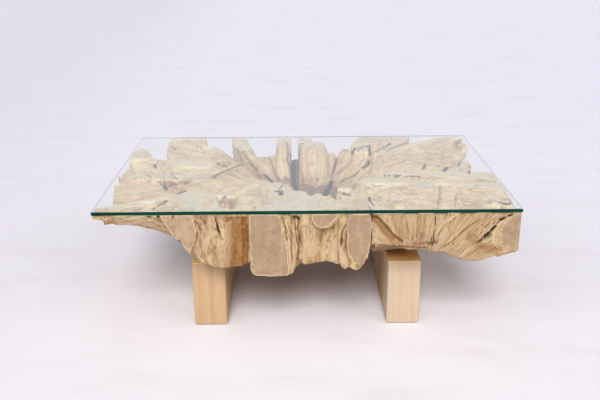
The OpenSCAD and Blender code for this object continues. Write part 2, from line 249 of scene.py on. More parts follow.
class Effects:
    """The shader effects that several finishes share, as node groups built once."""

    fineness: float = 260.0
    ring_spacing: float = 0.007
    speck_amount: float = 0.6

    def __init__(self) -> None:
        """Builds the groups."""
        self.fibre = self._group("fibre_from_focus", self._fibre,
                                 {"Focus": (0.0, 0.0, 0.0), "Seed": 0.0})
        self.rings = self._group("sawn_end_rings", self._rings, {"Rim": 0.0})
        self.specks = self._group("dark_specks", self._specks, {})
        self.upright = self._group("upright_grain", self._upright, {"Seed": 0.0})

    @staticmethod
    def _group(name: str, build: Callable[[Graph, Any], dict[str, Any]],
               inputs: dict[str, Any]) -> bpy.types.NodeTree:
        """Makes one group, which reads the coordinates as Vector and puts out values.

        Args:
            name: the group's name.
            build: the method that builds its inside.
            inputs: its other inputs with their defaults.

        Returns:
            The group.
        """
        tree = bpy.data.node_groups.new(name, "ShaderNodeTree")
        for key, value in {"Vector": (0.0, 0.0, 0.0), **inputs}.items():
            kind = "NodeSocketVector" if isinstance(value, tuple) else "NodeSocketFloat"
            socket = tree.interface.new_socket(key, in_out="INPUT", socket_type=kind)
            socket.default_value = value
        g = Graph(tree)
        results = build(g, g.add("NodeGroupInput").outputs)
        for key in results:
            tree.interface.new_socket(key, in_out="OUTPUT", socket_type="NodeSocketFloat")
        g.feed(g.add("NodeGroupOutput"), results)
        return tree

    @staticmethod
    def use(g: Graph, tree: bpy.types.NodeTree, **inputs: Any) -> Any:
        """Places a group in a material, fed with these inputs, and returns its outputs."""
        return g.feed(g.add("ShaderNodeGroup", node_tree=tree), inputs).outputs

    def _fibre(self, g: Graph, given: Any) -> dict[str, Any]:
        """Streaks that run out from a focus, as root fibres do from the heart.

        Args:
            g: the group's graph.
            given: the group's inputs.

        Returns:
            What the group puts out.
        """
        place = given["Vector"]
        way = g.vector("SUBTRACT", place, given["Focus"])
        reach = g.feed(g.add("ShaderNodeVectorMath", operation="LENGTH"), {0: way})
        wobble = g.minus(g.noise(place, 16.0, 2.0), 0.5)
        bent = g.scaled((0.6, 0.5, 0.6), g.times(wobble, 0.09))
        unit = g.feed(g.add("ShaderNodeVectorMath", operation="NORMALIZE"), {0: way})
        fibres = g.scaled(g.vector("ADD", unit.outputs["Vector"], bent), self.fineness)
        along = g.plus(g.times(reach.outputs["Value"], 9.0), given["Seed"])
        dash = g.noise(fibres, 0.30, 2.0, 0.6, g.times(along, 6.0))
        crowd = g.noise(place, 8.5, 2.0, 0.6)
        return {"Fine": g.noise(fibres, 0.44, 4.0, 0.66, g.times(along, 2.2)),
                "Streak": g.noise(fibres, 0.19, 3.0, 0.6, along),
                "Band": g.noise(fibres, 0.055, 2.0, 0.55, g.times(along, 0.7)),
                "Tick": g.times(g.ramp(dash, 0.60, 0.68), g.ramp(crowd, 0.46, 0.64))}

    def _rings(self, g: Graph, given: Any) -> dict[str, Any]:
        """Faint growth rings that follow the outline of a sawn end, with a pale rim.

        Args:
            g: the group's graph.
            given: the group's inputs.

        Returns:
            What the group puts out.
        """
        place, rim = given["Vector"], given["Rim"]
        depth = g.plus(rim, g.times(g.noise(place, 24.0), 0.02))
        turns = g.math("DIVIDE", depth, self.ring_spacing)
        wave = g.math("SINE", g.times(turns, math.tau))
        uneven = g.ramp(g.noise(place, 42.0, 2.0), 0.40, 0.70)
        edge = g.minus(rim, g.times(g.noise(place, 34.0, 2.0), 0.0064))
        stretched = g.vector("MULTIPLY", place, (260.0, 260.0, 11.0))
        return {"Ring": g.times(g.ramp(wave, 0.2, 1.0), uneven),
                "Rim": g.minus(1.0, g.ramp(edge, -0.0022, 0.0004)),
                "Check": g.noise(stretched, 1.0, 3.0, 0.6),
                "Cloud": g.noise(place, 30.0, 4.0, 0.6)}

    def _specks(self, g: Graph, given: Any) -> dict[str, Any]:
        """Dark specks and blots where the root was bruised or bored.

        Args:
            g: the group's graph.
            given: the group's inputs.

        Returns:
            What the group puts out.
        """
        place = given["Vector"]
        small = g.ramp(g.noise(place, 120.0, 3.0, 0.6), 0.70, 0.78)
        broad = g.ramp(g.noise(place, 13.0, 3.0, 0.65), 0.50, 0.68)
        blot = g.ramp(g.noise(place, 46.0, 4.0, 0.7), 0.66, 0.76)
        both = g.times(g.math("MAXIMUM", small, blot), broad)
        return {"Mask": g.times(both, self.speck_amount, clamp=True)}

    @staticmethod
    def _upright(g: Graph, given: Any) -> dict[str, Any]:
        """Straight grain that runs up a block, with soft darker bands.

        Args:
            g: the group's graph.
            given: the group's inputs.

        Returns:
            What the group puts out.
        """
        place, seed = given["Vector"], given["Seed"]
        sway = g.scaled((1.0, 0.8, 0.0), g.times(g.noise(place, 3.2, 2.0), 0.035))
        base = g.vector("ADD", place, sway)
        thin, broad, pores = (g.vector("MULTIPLY", base, stretch) for stretch in (
            (150.0, 150.0, 4.0), (34.0, 34.0, 1.3), (700.0, 700.0, 40.0)))
        return {"Fine": g.noise(thin, 1.0, 3.0, 0.6, seed),
                "Band": g.noise(broad, 1.0, 3.0, 0.55, seed),
                "Pores": g.ramp(g.noise(pores, 1.0, 1.0, 0.5, seed), 0.62, 0.72)}


def new_material(name: str) -> tuple[bpy.types.Material, Graph, Any, Any]:
    """Makes a material with only its output and a Principled shader.

    Args:
        name: the material's name.

    Returns:
        The material, its graph, the shader and the output node.
    """
    material = bpy.data.materials.new(name)
    material.use_nodes = True
    material.node_tree.nodes.clear()
    g = Graph(material.node_tree)
    shader = g.add("ShaderNodeBsdfPrincipled")
    out = g.feed(g.add("ShaderNodeOutputMaterial"), {"Surface": shader.outputs["BSDF"]})
    return material, g, shader, out


def bumped(g: Graph, height: Any, distance: float) -> Any:
    """Turns a height into a normal, through a Bump node."""
    node = g.feed(g.add("ShaderNodeBump"), {"Strength": 1.0, "Distance": distance,
                                            "Height": height})
    return node.outputs["Normal"]


@dataclass(frozen=True)
class RootFinish:
    """Sanded teak root: natural outside, sawn ends and flat top on one piece."""

    name: str
    natural: Colour
    shade: Colour
    streak: Colour
    focus: Point3
    seed: float
    crown_focus: Point3 = (10.0, -30.0, 260.0)
    # Pale fibres and sawn rims, and the colour of the painted highlights.
    light: Colour = rgb(240, 214, 172)
    gold: Colour = rgb(150, 94, 20)
    # Painted shade: on the front sections everything but the top is laid darker.
    painted_side_shade: Colour = rgb(255, 255, 255)
    # Brown ticks and streaks, and the colour of the painted shade in folds and recesses.
    brown: Colour = rgb(128, 84, 46)
    # Painted shade deep in the bowl and along the slot.
    deep: Colour = rgb(112, 90, 72)
    sawn: Colour = rgb(200, 170, 139)
    sawn_dark: Colour = rgb(168, 136, 106)
    flat: Colour = rgb(228, 210, 186)
    flat_dark: Colour = rgb(194, 174, 146)
    # Painted highlight: the natural wood on the top and the long arm is laid lighter, as lit from
    # above.
    crown: Colour = rgb(240, 216, 182)
    bruise: Colour = rgb(84, 60, 40)
    # Near-black: painted shade in the carved cracks, holes and the cave.
    crack: Colour = rgb(34, 27, 22)

    def build(self, effects: Effects) -> bpy.types.Material:
        """Builds the material.

        Args:
            effects: the shared node groups.

        Returns:
            The finished material.
        """
        material, g, shader, _ = new_material(self.name)
        place = g.place()
        sawn, level, upper = (g.attribute(name) for name in ("sawn", "flat", "upper"))
        side, crown = (
            effects.use(g, effects.fibre, Vector=place, Seed=seed, Focus=tuple(v * MM for v in at))
            for at, seed in ((self.focus, self.seed), (self.crown_focus, self.seed + 5.0)))
        grain = {key: g.between(upper, side[key], crown[key])
                 for key in ("Fine", "Streak", "Band", "Tick")}
        fine, streak = grain["Fine"], grain["Streak"]
        fray = g.plus(g.times(streak, 0.5), g.times(fine, 0.5))
        ends = effects.use(g, effects.rings, Vector=place, Rim=g.attribute("rim"))
        natural = self._natural(g, grain, upper, fray)
        colour = g.mix(sawn, natural, self._sawn_end(g, ends, place))
        colour = g.mix(level, colour, self._flat_top(g, crown, ends, natural, fray))
        # Painted shade: everything but the top of a front section is darkened.
        colour = g.mix(g.minus(1.0, g.attribute("above")), colour, self.painted_side_shade, "MULTIPLY")
        dots = effects.use(g, effects.specks, Vector=place)["Mask"]
        colour = g.layers(colour, (g.times(dots, g.minus(1.0, sawn)), 0.75, self.bruise))
        # Painted shade: the cracks, holes and the cave go near-black.
        crack = g.times(self._frayed(g, "crack", fray), 0.96)
        calm = g.minus(1.0, g.times(0.85, g.math("MAXIMUM", sawn, level)))
        height = g.times(g.plus(g.times(fine, 0.45), g.times(streak, 0.75)), calm)
        height = g.minus(height, g.times(crack, 0.45))
        g.feed(shader, {"Base Color": g.mix(crack, colour, self.crack),
                        "Roughness": g.plus(0.48, g.times(fine, 0.24)),
                        "Specular IOR Level": 0.28, "Normal": bumped(g, height, 0.0050)})
        return material

    def _natural(self, g: Graph, grain: dict[str, Any], upper: Any, fray: Any) -> Any:
        """Colours the natural wood: its fibres, aged patches and stains, the painted highlight on
        the top and the long arm, the painted highlights and shade of the strokes, and the painted
        shade deep in the bowl and the slot.

        Args:
            g: the material's graph.
            grain: the fibre values.
            upper: 1 on the top and the long arm, where the wood is painted lighter.
            fray: the pattern that frays what is painted.

        Returns:
            The colour.
        """
        fine, streak = grain["Fine"], grain["Streak"]
        plain = g.layers(
            g.mix(g.ramp(grain["Band"], 0.38, 0.62), self.natural, self.shade),
            # painted highlight on the top and the long arm
            (upper, 0.45, self.crown),
            (g.ramp(streak, 0.51, 0.65), 0.76, self.streak),
            (g.ramp(streak, 0.48, 0.34), 0.75, self.light),
            (g.ramp(fine, 0.52, 0.64), 0.64, self.streak),
            (g.ramp(fine, 0.47, 0.34), 0.60, self.light),
            (grain["Tick"], 0.62, self.brown),
            (self._frayed(g, "light", fray), 0.9, self.light))
        golden = g.layers(self.gold, (g.ramp(fine, 0.52, 0.66), 0.80, self.brown),
                          (g.ramp(fine, 0.50, 0.32), 0.25, self.shade))
        aged = g.times(g.attribute("gold"), g.plus(0.60, g.times(fray, 0.80)), clamp=True)
        return g.layers(g.mix(aged, plain, golden),
                        (self._frayed(g, "brown", fray), 0.9, self.brown),
                        # painted shade deep in the bowl and along the slot
                        (g.attribute("painted_hollow_shade"), 0.80, self.deep))

    def _sawn_end(self, g: Graph, ends: Any, place: Any) -> Any:
        """Colours the sawn ends: clouds, rings, checks and a pale rim.

        Args:
            g: the material's graph.
            ends: the ring values.
            place: the coordinates.

        Returns:
            The colour.
        """
        cloud, check = ends["Cloud"], ends["Check"]
        fleck = g.noise(place, 62.0, 5.0, 0.7)
        return g.layers(
            self.sawn,
            (g.ramp(cloud, 0.35, 0.65), 0.45, self.sawn_dark),
            (ends["Ring"], 0.20, self.sawn_dark),
            (g.ramp(check, 0.52, 0.68), 0.34, self.sawn_dark),
            (g.ramp(check, 0.46, 0.34), 0.16, self.light),
            (g.ramp(fleck, 0.50, 0.64), 0.42, self.sawn_dark),
            (g.ramp(fleck, 0.50, 0.36), 0.18, self.light),
            (g.times(ends["Rim"], g.ramp(cloud, 0.36, 0.50)), 0.8, self.light))

    def _flat_top(self, g: Graph, crown: Any, ends: Any, natural: Any, fray: Any) -> Any:
        """Colours the sawn and sanded top, where the natural colour shows in patches, with the
        painted highlights along its dips and strokes, and the brown stains and painted shade of the
        strokes.

        Args:
            g: the material's graph.
            crown: the fibre values seen from above.
            ends: the ring values.
            natural: the natural colour.
            fray: the pattern that frays what is painted.

        Returns:
            The colour.
        """
        return g.layers(
            self.flat,
            (g.ramp(crown["Streak"], 0.45, 0.68), 0.6, self.flat_dark),
            (g.ramp(ends["Cloud"], 0.45, 0.65), 0.4, self.flat_dark),
            (g.ramp(g.noise(g.place(), 6.5, 3.0, 0.6), 0.47, 0.60), 0.70, natural),
            (crown["Tick"], 0.35, self.streak),
            (self._frayed(g, "light", fray), 0.8, self.light),
            (self._frayed(g, "brown", fray), 0.8, self.brown))

    @staticmethod
    def _frayed(g: Graph, name: str, fray: Any) -> Any:
        """Reads a painted value and frays its edge along the fibres.

        Args:
            g: the material's graph.
            name: the stored value.
            fray: the fibre pattern.

        Returns:
            The mask.
        """
        painted = g.attribute(name)
        pull = g.times(g.minus(fray, 0.5), 1.9)
        return g.ramp(g.plus(painted, g.times(pull, g.ramp(painted, 0.02, 0.3))), 0.12, 0.88)


@dataclass(frozen=True)
class LegFinish:
    """A block of upright-grain wood, sanded and waxed, with its end grain on top laid light: a
    painted highlight against the shade under the root.
    """

    name: str
    light: Colour
    dark: Colour
    seed: float
    pore: Colour = rgb(150, 108, 68)
    # A greyer, darker tone towards the top of the block.
    tint: Colour = rgb(178, 152, 122)
    # Painted highlight: the end grain on top is laid this light to lift it out of the shade under
    # the root.
    end: Colour = rgb(250, 214, 160)
    end_dark: Colour = rgb(230, 186, 128)
    tint_rise: Pair = (0.150, 0.200)
    end_rise: Pair = (0.2068, 0.2090)

    def build(self, effects: Effects) -> bpy.types.Material:
        """Builds the material.

        Args:
            effects: the shared node groups.

        Returns:
            The finished material.
        """
        material, g, shader, _ = new_material(self.name)
        place = g.place()
        height = g.axis(place, "Z")
        grain = effects.use(g, effects.upright, Vector=place, Seed=self.seed)
        band, fine = grain["Band"], grain["Fine"]
        stretched = g.vector("MULTIPLY", place, (30.0, 190.0, 30.0))
        # Painted highlight: the top end is laid light against the shade under the root.
        end = g.mix(g.ramp(g.noise(stretched, 1.0, 4.0, 0.6), 0.40, 0.62), self.end, self.end_dark)
        colour = g.layers(
            self.light,
            (g.ramp(band, 0.42, 0.64), 0.45, self.dark),
            (g.ramp(fine, 0.48, 0.72), 0.40, self.dark),
            (grain["Pores"], 0.22, self.pore),
            (g.times(g.ramp(height, *self.tint_rise), g.ramp(band, 0.36, 0.62)), 0.35, self.tint))
        g.feed(shader, {"Base Color": g.mix(g.ramp(height, *self.end_rise), colour, end),
                        "Roughness": g.plus(0.42, g.times(fine, 0.16)),
                        "Specular IOR Level": 0.3, "Normal": bumped(g, fine, 0.0006)})
        return material


class PlainFinishes:
    """The small finishes: glass, its ground edge, clear bumpers, felt and the studio floor."""

    @staticmethod
    def glass() -> bpy.types.Material:
        """Clear sheet glass that lets the lamps light what lies under it.

        Returns:
            The finished material.
        """
        material, g, shader, out = new_material("clear_sheet_glass")
        g.feed(shader, {"Base Color": (0.955, 0.985, 0.975, 1.0), "Roughness": 0.0, "IOR": 1.5,
                        "Transmission Weight": 1.0})
        path = g.add("ShaderNodeLightPath").outputs
        through = g.feed(g.add("ShaderNodeBsdfTransparent"), {"Color": (0.95, 0.98, 0.97, 1.0)})
        either = g.math("MAXIMUM", path["Is Shadow Ray"], path["Is Diffuse Ray"])
        g.surface(out, either, shader, through)
        return material

    @staticmethod
    def glass_edge() -> bpy.types.Material:
        """The ground edge of the sheet: dark green outside, pale where seen from inside.

        Returns:
            The finished material.
        """
        material, g, shader, out = new_material("ground_glass_edge")
        place = g.place()
        fine = g.noise(g.vector("MULTIPLY", place, (60.0, 60.0, 500.0)), 1.0, 2.0)
        green = g.mix(g.ramp(g.noise(place, 9.0, 2.0), 0.3, 0.7), rgb(0, 42, 32), rgb(4, 56, 44))
        g.feed(shader, {"Base Color": g.layers(green, (fine, 0.35, rgb(14, 74, 58))),
                        "Roughness": g.plus(0.22, g.times(fine, 0.12)),
                        "Specular IOR Level": 0.12})
        inner = g.feed(g.add("ShaderNodeBsdfTransparent"), {"Color": (0.52, 0.66, 0.62, 1.0)})
        inside = g.add("ShaderNodeNewGeometry").outputs["Backfacing"]
        g.surface(out, inside, shader, inner)
        return material

    @staticmethod
    def bumper() -> bpy.types.Material:
        """Clear soft plastic, slightly cloudy.

        Returns:
            The finished material.
        """
        material, g, shader, _ = new_material("clear_bumper_plastic")
        cloud = g.noise(g.place(), 180.0)
        g.feed(shader, {"Base Color": g.mix(cloud, rgb(226, 230, 226), rgb(244, 246, 243)),
                        "Roughness": g.plus(0.16, g.times(cloud, 0.14)), "IOR": 1.42,
                        "Alpha": 0.30})
        return material

    @staticmethod
    def felt() -> bpy.types.Material:
        """Dark pressed felt with loose fibres.

        Returns:
            The finished material.
        """
        material, g, shader, _ = new_material("dark_felt")
        place = g.place()
        fuzz = g.noise(place, 900.0, 4.0, 0.7)
        colour = g.layers(g.mix(g.ramp(fuzz, 0.35, 0.7), rgb(38, 35, 33), rgb(74, 68, 63)),
                          (g.noise(place, 120.0), 0.3, rgb(96, 88, 80)))
        g.feed(shader, {"Base Color": colour, "Roughness": 0.95, "Sheen Weight": 0.4,
                        "Normal": bumped(g, fuzz, 0.0008)})
        return material

    @staticmethod
    def floor() -> bpy.types.Material:
        """A pale studio floor with faint cloudy tone, and painted shade that makes it a little
        darker to the left.

        Returns:
            The finished material.
        """
        material, g, shader, _ = new_material("pale_studio_floor")
        place = g.place()
        away = g.axis(place, "Y")
        cloud = g.noise(g.vector("MULTIPLY", place, (1.0, 2.6, 1.0)), 2.2, 5.0, 0.62)
        colour = g.mix(g.ramp(away, -0.9, 0.5), rgb(238, 235, 240), rgb(233, 229, 237))
        colour = g.layers(g.mix(g.ramp(away, 0.6, 3.0), colour, rgb(231, 228, 238)),
                          # painted shade: darker towards the left
                          (g.ramp(g.axis(place, "X"), -0.6, -2.2), 0.6, rgb(218, 214, 222)),
                          (g.ramp(cloud, 0.45, 0.75), 0.35, rgb(220, 212, 218)))
        g.feed(shader, {"Base Color": colour, "Roughness": 0.85, "Specular IOR Level": 0.1})
        return material


@dataclass(frozen=True)
class Stroke:
    """A painted and carved line on one side of the root, in mm; it lays a stain, painted shade in a
    crack or fold, or a painted highlight on a ridge or rim.
    """

    tint: StainAndPaintedLight
    points: list[Point]
    width: float
    depth: float
    strength: float
    face: Face = Face.FRONT


@dataclass(frozen=True)
class Hollow:
    """A natural dip in the sawn top, in mm: it steps down at its outline and then falls
    away from its ridge line."""

    outline: list[Point]
    ridge: list[Point]
    step: float
    fall: float
    deepest: float = 26.0
    soft: float = 9.0


def line_distance(p: np.ndarray, line: list[Point]) -> np.ndarray:
    """Measures how far points lie from a line of two or more points, or from one point.

    Args:
        p: the points, one row each, in the same two axes as the line.
        line: the line's points.

    Returns:
        The distances.
    """
    gap = np.linalg.norm(p - np.array(line[0]), axis=1)
    for start, end in zip(line[:-1], line[1:]):
        s = np.array(start, dtype=float)
        e = np.array(end, dtype=float)
        t = np.clip(((p - s) @ (e - s)) / max(float((e - s) @ (e - s)), 1e-6), 0.0, 1.0)
        gap = np.minimum(gap, np.linalg.norm(p - s - t[:, None] * (e - s), axis=1))
    return gap


def depth_inside(p: np.ndarray, outline: list[Point]) -> np.ndarray:
    """Measures how far inside a closed outline points lie, and below 0 outside it.

    Args:
        p: the points, one row each, in the same two axes as the outline.
        outline: its corners.

    Returns:
        The signed distances.
    """
    inside = np.zeros(len(p), dtype=bool)
    for (ax, ay), (bx, by) in zip(outline, outline[1:] + outline[:1]):
        if ay == by:
            continue
        crosses = (p[:, 1] < ay) != (p[:, 1] < by)
        inside ^= crosses & (p[:, 0] < ax + (bx - ax) * (p[:, 1] - ay) / (by - ay))
    gap = line_distance(p, outline + outline[:1])
    return np.where(inside, gap, -gap)


def lattice_noise(p: np.ndarray, seed: int) -> np.ndarray:
    """Smooth random values in space, the same on every run.

    Args:
        p: points, one row each, already scaled.
        seed: which noise.

    Returns:
        One value from -1 to 1 for each point.
    """
    cell = np.floor(p).astype(np.int64)
    part = p - cell
    ease = part * part * (3.0 - 2.0 * part)
    total = np.zeros(len(p))
    for corner in range(8):
        off = np.array([corner & 1, corner >> 1 & 1, corner >> 2 & 1])
        c = cell + off
        h = (c[:, 0] * 73856093) ^ (c[:, 1] * 19349663) ^ (c[:, 2] * 83492791) ^ (seed * 7919)
        h = (h ^ (h >> 13)) * 1274126177 & 0x7FFFFFFF
        value = (h ^ (h >> 16)) % 65536 / 32768.0 - 1.0
        weight = np.prod(np.where(off == 1, ease, 1.0 - ease), axis=1)
        total += value * weight
    return total


def noise_pair(coarse: np.ndarray, fine: np.ndarray, seed: int) -> np.ndarray:
    """Adds a weaker fine noise to a coarse one."""
    return lattice_noise(coarse, seed) * 0.6 + lattice_noise(fine, seed + 1) * 0.4


def bend(p: np.ndarray, size: float, depth: float, seed: int) -> np.ndarray:
    """Makes waves of a size and a depth in two directions, to bend an outline with."""
    pair = [lattice_noise(p / size, seed + k) for k in range(2)]
    return np.stack(pair, axis=1) * depth


def eased(x: np.ndarray, low: float, high: float) -> np.ndarray:
    """Eases a value from 0 at low to 1 at high."""
    t = np.clip((x - low) / (high - low), 0.0, 1.0)
    return t * t * (3.0 - 2.0 * t)


def strokes(tint: StainAndPaintedLight, *rows: tuple[float, ...]) -> list[Stroke]:
    """Makes several strokes of one kind on the front: a stain, painted shade or painted highlights.

    Args:
        tint: what they paint.
        rows: for each, its width, carved depth and strength, then x and z of each point.

    Returns:
        The strokes.
    """
    return [Stroke(tint, list(zip(row[3::2], row[4::2])), *row[:3]) for row in rows]


def top_strokes(tint: StainAndPaintedLight, carve: float, *rows: tuple[float, ...]) -> list[Stroke]:
    """Makes several strokes of one kind on the top: a stain, painted shade or painted highlights.

    Args:
        tint: what they paint.
        carve: how deep they go for each mm of width; less than 0 raises a ridge.
        rows: for each, its width and strength, then x and y of each point.

    Returns:
        The strokes.
    """
    return [Stroke(tint, list(zip(row[2::2], row[3::2])), row[0] * TOP_WIDENING,
                   row[0] * carve, row[1], Face.TOP) for row in rows]


# Outlines of the sawn ends on the front face, in mm along the table and up.
SAWN_FRONT: list[list[Point]] = [
    [(-413, 412), (-394, 372), (-376, 343), (-352, 317), (-334, 304), (-321, 314),
     (-315, 338), (-312, 364), (-316, 385), (-322, 412)],
    [(-168, 412), (-166, 350), (-161, 300), (-159, 214), (-49, 212), (-52, 260), (-56, 300),
     (-63, 334), (-71, 372), (-82, 412)],
    [(7, 412), (15, 384), (35, 366), (56, 374), (77, 393), (104, 412)],
    [(107, 412), (111, 350), (113, 310), (117, 282), (129, 262), (145, 256), (158, 262),
     (169, 276), (178, 299), (183, 350), (181, 412)],
    [(602, 412), (588, 410), (568, 397), (551, 380), (541, 354), (545, 330), (560, 311),
     (578, 299), (602, 288)],
]
BUMPERS: list[Point] = [(-430, -312), (-104, -330), (262, -320), (540, -320), (520, -184),
                        (496, 316), (330, 370), (2, 366), (-425, 350), (-540, 172)]
# Natural dips in the sawn top, in mm in plan.
HOLLOWS: list[Hollow] = [
    # the wide fan behind the right front
    Hollow([(136, -112), (160, -108), (184, -152), (236, -156), (300, -140), (322, -146),
            (346, -194), (378, -190), (402, -150), (440, -148), (492, -178), (530, -206),
            (610, -226), (610, -380), (420, -380), (230, -376), (196, -350), (176, -300),
            (150, -250), (138, -190)],
           [(184, -152), (300, -140), (346, -194), (402, -150), (492, -178), (610, -226)],
           3.0, 0.055, 14.0, 6.0),
    # the dip left of the long smooth band
    Hollow([(172, -2), (252, -16), (266, -52), (240, -84), (150, -104), (120, -100)],
           [(172, -2), (252, -16)], 3.0, 0.09, 12.0),
    # the broad back right root, lower towards its right side
    Hollow([(214, 108), (262, 152), (330, 226), (430, 312), (524, 376), (610, 404),
            (610, 250), (500, 110), (452, 30), (250, 12), (222, 36)],
           [(214, 108), (262, 152), (330, 226), (430, 312), (524, 376)],
           2.0, 0.11, 26.0, 6.0),
    # the dark cave beside it
    Hollow([(140, 160), (168, 236), (234, 300), (250, 268), (240, 150), (222, 60), (204, 24),
            (180, 60)], [(140, 160), (168, 236), (234, 300)], 12.0, 0.30, 34.0, 14.0),
    Hollow([(262, 250), (300, 320), (330, 330), (300, 268), (274, 222)],
           [(300, 320), (330, 330)], 5.0, 0.12, 18.0),
    # the back left lobe, lower towards the front
    Hollow([(-505, 160), (-500, 330), (-470, 388), (-352, 388), (-328, 300), (-308, 156),
            (-400, 146)], [(-490, 388), (-350, 388)], 1.5, 0.085, 24.0),
    # the left arms
    Hollow([(-610, -40), (-610, 140), (-520, 152), (-462, 140), (-452, 60), (-452, -10),
            (-480, -80), (-560, -70)], [(-462, 140), (-452, 60), (-452, -10)],
           1.5, 0.10, 18.0),
    Hollow([(-600, -128), (-540, -120), (-452, -104), (-428, -190), (-500, -244),
            (-590, -272)], [(-540, -120), (-452, -104), (-428, -190)], 1.5, 0.10, 18.0),
    Hollow([(-440, 56), (-306, 52), (-330, 6), (-380, -40), (-440, -20)],
           [(-440, 56), (-306, 52)], 3.0, 0.10, 14.0),
    # the pit in the left and the slope behind it
    Hollow([(-436, -110), (-420, -86), (-380, -92), (-352, -108), (-392, -140),
            (-424, -176)], [(-420, -86), (-352, -108)], 12.0, 0.5, 30.0, 7.0),
    # the long front left arm and its front slope
    Hollow([(-610, -374), (-540, -344), (-460, -300), (-438, -330), (-450, -376),
            (-610, -392)], [(-610, -370), (-540, -344), (-460, -300)], 2.0, 0.10, 8.0, 5.0),
    # round the knee
    Hollow([(-300, -112), (-230, -88), (-172, -88), (-130, -120), (-92, -190), (-140, -262),
            (-190, -240), (-262, -238), (-296, -190)],
           [(-230, -88), (-172, -88), (-130, -120)], 1.5, 0.05, 9.0),
    Hollow([(-262, -250), (-206, -252), (-200, -276), (-214, -350), (-250, -344)],
           [(-262, -250), (-206, -252)], 10.0, 0.16, 20.0, 5.0),
    Hollow([(-194, -262), (-152, -266), (-138, -384), (-190, -384)],
           [(-152, -266), (-138, -384)], 3.0, 0.05, 8.0),
    Hollow([(-302, -262), (-264, -262), (-262, -352), (-300, -352)],
           [(-302, -262), (-264, -262)], 1.0, 0.05, 6.0, 12.0),
    Hollow([(-152, -196), (-112, -128), (-92, -186), (-104, -250), (-96, -300), (-112, -352),
            (-150, -352)], [(-152, -196), (-112, -128)], 1.5, 0.04, 8.0, 14.0),
    Hollow([(-420, -250), (-372, -262), (-352, -330), (-360, -380), (-430, -384),
            (-446, -330)], [(-420, -250), (-372, -262)], 1.5, 0.05, 8.0, 12.0),
    Hollow([(20, -250), (96, -262), (150, -268), (166, -300), (120, -330), (40, -300)],
           [(20, -250), (96, -262)], 1.0, 0.04, 7.0, 14.0),
    # beside the small root over the hollow front
    Hollow([(72, -268), (128, -250), (140, -200), (96, -196), (70, -226)],
           [(128, -250), (140, -200)], 6.0, 0.22, 18.0),
]
# Where the photo was taken from, in mm.
EYE: Point3 = (-38.9, -2420.3, 1168.2)
# The height in mm on which the strokes on the top were read, how much wider than they look
# they are there, and how much the slant squashes what lies one behind the other.
READ_Z = 404.0
TOP_WIDENING = 1.15
TOP_SQUASH = 0.58
# The corners of the heart in plan and the sides of the slot behind it, in mm.
HEART: list[Point] = [(-130, -95), (-60, -150), (60, -190), (140, -140), (185, -40),
                      (160, 70), (85, 140), (-20, 150), (-120, 120), (-160, 20)]
SLOT: Pair = (-45.0, -20.0)
# Where the waves of the top run out from, and the middle and the reach of its bowl.
TOP_MIDDLE: Point = (10.0, -30.0)
BOWL_MIDDLE: Point = (20.0, 0.0)
BOWL_REACH = 330.0
# The height from which the wood belongs to the top.
TOP_FROM_Z = 300.0
# The size and the depth of the waves that bend the outlines of the top's dips, and of those
# that bend the outlines of the sawn ends.
DIP_BEND: Pair = (26.0, 5.0)
END_BEND: Pair = (17.0, 1.8)
# The waves of the top: how often they come round the middle, and which noise each uses; how
# deep natural wood lies on average and at most.
TOP_WAVES: list[tuple[float, int]] = [(11.0, 311), (27.0, 312), (61.0, 313)]
NATURAL_DEPTH = 4.2
NATURAL_DEEPEST = 15.0
# How far from a bumper the top is still flat, and how far off it is free, in mm.
BUMPER_CLEARANCE: Pair = (11.0, 30.0)
# How far back a stroke on the front reaches, and how far near the top; the height from
# which a stroke on the top shows; and how ragged the sides of all strokes are.
FRONT_Y = -320.0
FRONT_TOP_Y = -388.0
FRONT_TOP_Z = 399.0
STROKE_FROM_Z = 200.0
RAGGED = 0.30
# The place of the lower edge of the front where it was read, how far back it is drawn in
# full and at all, the steps along it, how far it feels sideways, and the most that it moves.
HEM_Y = -392.0
HEM_Z = 260.0
HEM_FULL_Y = -340.0
HEM_BACK_Y = -220.0
HEM_STEP = 4.0
HEM_FEEL = 3.5
HEM_MOST = 30.0
# Up to which rise over the edge the wood moves in full, and the rise and the height above
# which it stays.
HEM_FULL = 14.0
HEM_FADE = 110.0
HEM_FADE_Z = 330.0
# The underside of a crisp section is tucked forward: the rise over its edge and the depth
# over which that fades, the depth that it is drawn to, its share, and where it begins.
TUCK_RISE: Pair = (26.0, 70.0)
TUCK_Y: Pair = (-352.0, -306.0)
TUCK_TO_Y = -393.0
TUCK_SHARE = 0.88
TUCK_FROM_X = 186.0
# The room round the oval sawn end of the left arm, the cells in which its outermost wood is
# found, how deep behind that the end is cut, how near its outline it is drawn to the cut,
# and how often its wood is then evened below a height.
ARM_END_X: Pair = (-424.0, -300.0)
ARM_END_Y = -318.0
ARM_END_Z = 290.0
ARM_CELL = 5.0
ARM_ROWS = 40
ARM_END_DEPTH = 55.0
ARM_END_EASE: Pair = (-4.0, 0.5)
ARM_EVEN_STEPS = 90
ARM_EVEN_Z = 401.0
# Natural wood falls back beside a sawn end: over how far and how deep, with a small sharp
# step and a wide one; how far from the end it is rough in full; the most that the rough
# takes back; and how far in front of the table's middle all this begins.
SHARP_STEP: Pair = (2.5, 1.2)
WIDE_STEP: Pair = (14.0, 4.5)
ROUGH_FROM = 6.0
MOST_RAISED = -3.0
FRONT_BEGINS: Pair = (380.0, 396.0)
# The wood at the front of a crisp section that is evened, and how often.
CRISP_Y = -372.0
CRISP_Z = 398.0
CRISP_STEPS = 5
# A vertex this near a cut, as a share of a voxel, snaps to it.
SNAP_SHARE = 0.62
# How far from a cut the skin is shaped in full.
CUT_MARGIN = 7.0
# The angle in degrees from which an edge of the wood is sharp.
SHARP_WOOD = 48.0
# A distance past everything on the table.
FAR = 1000.0
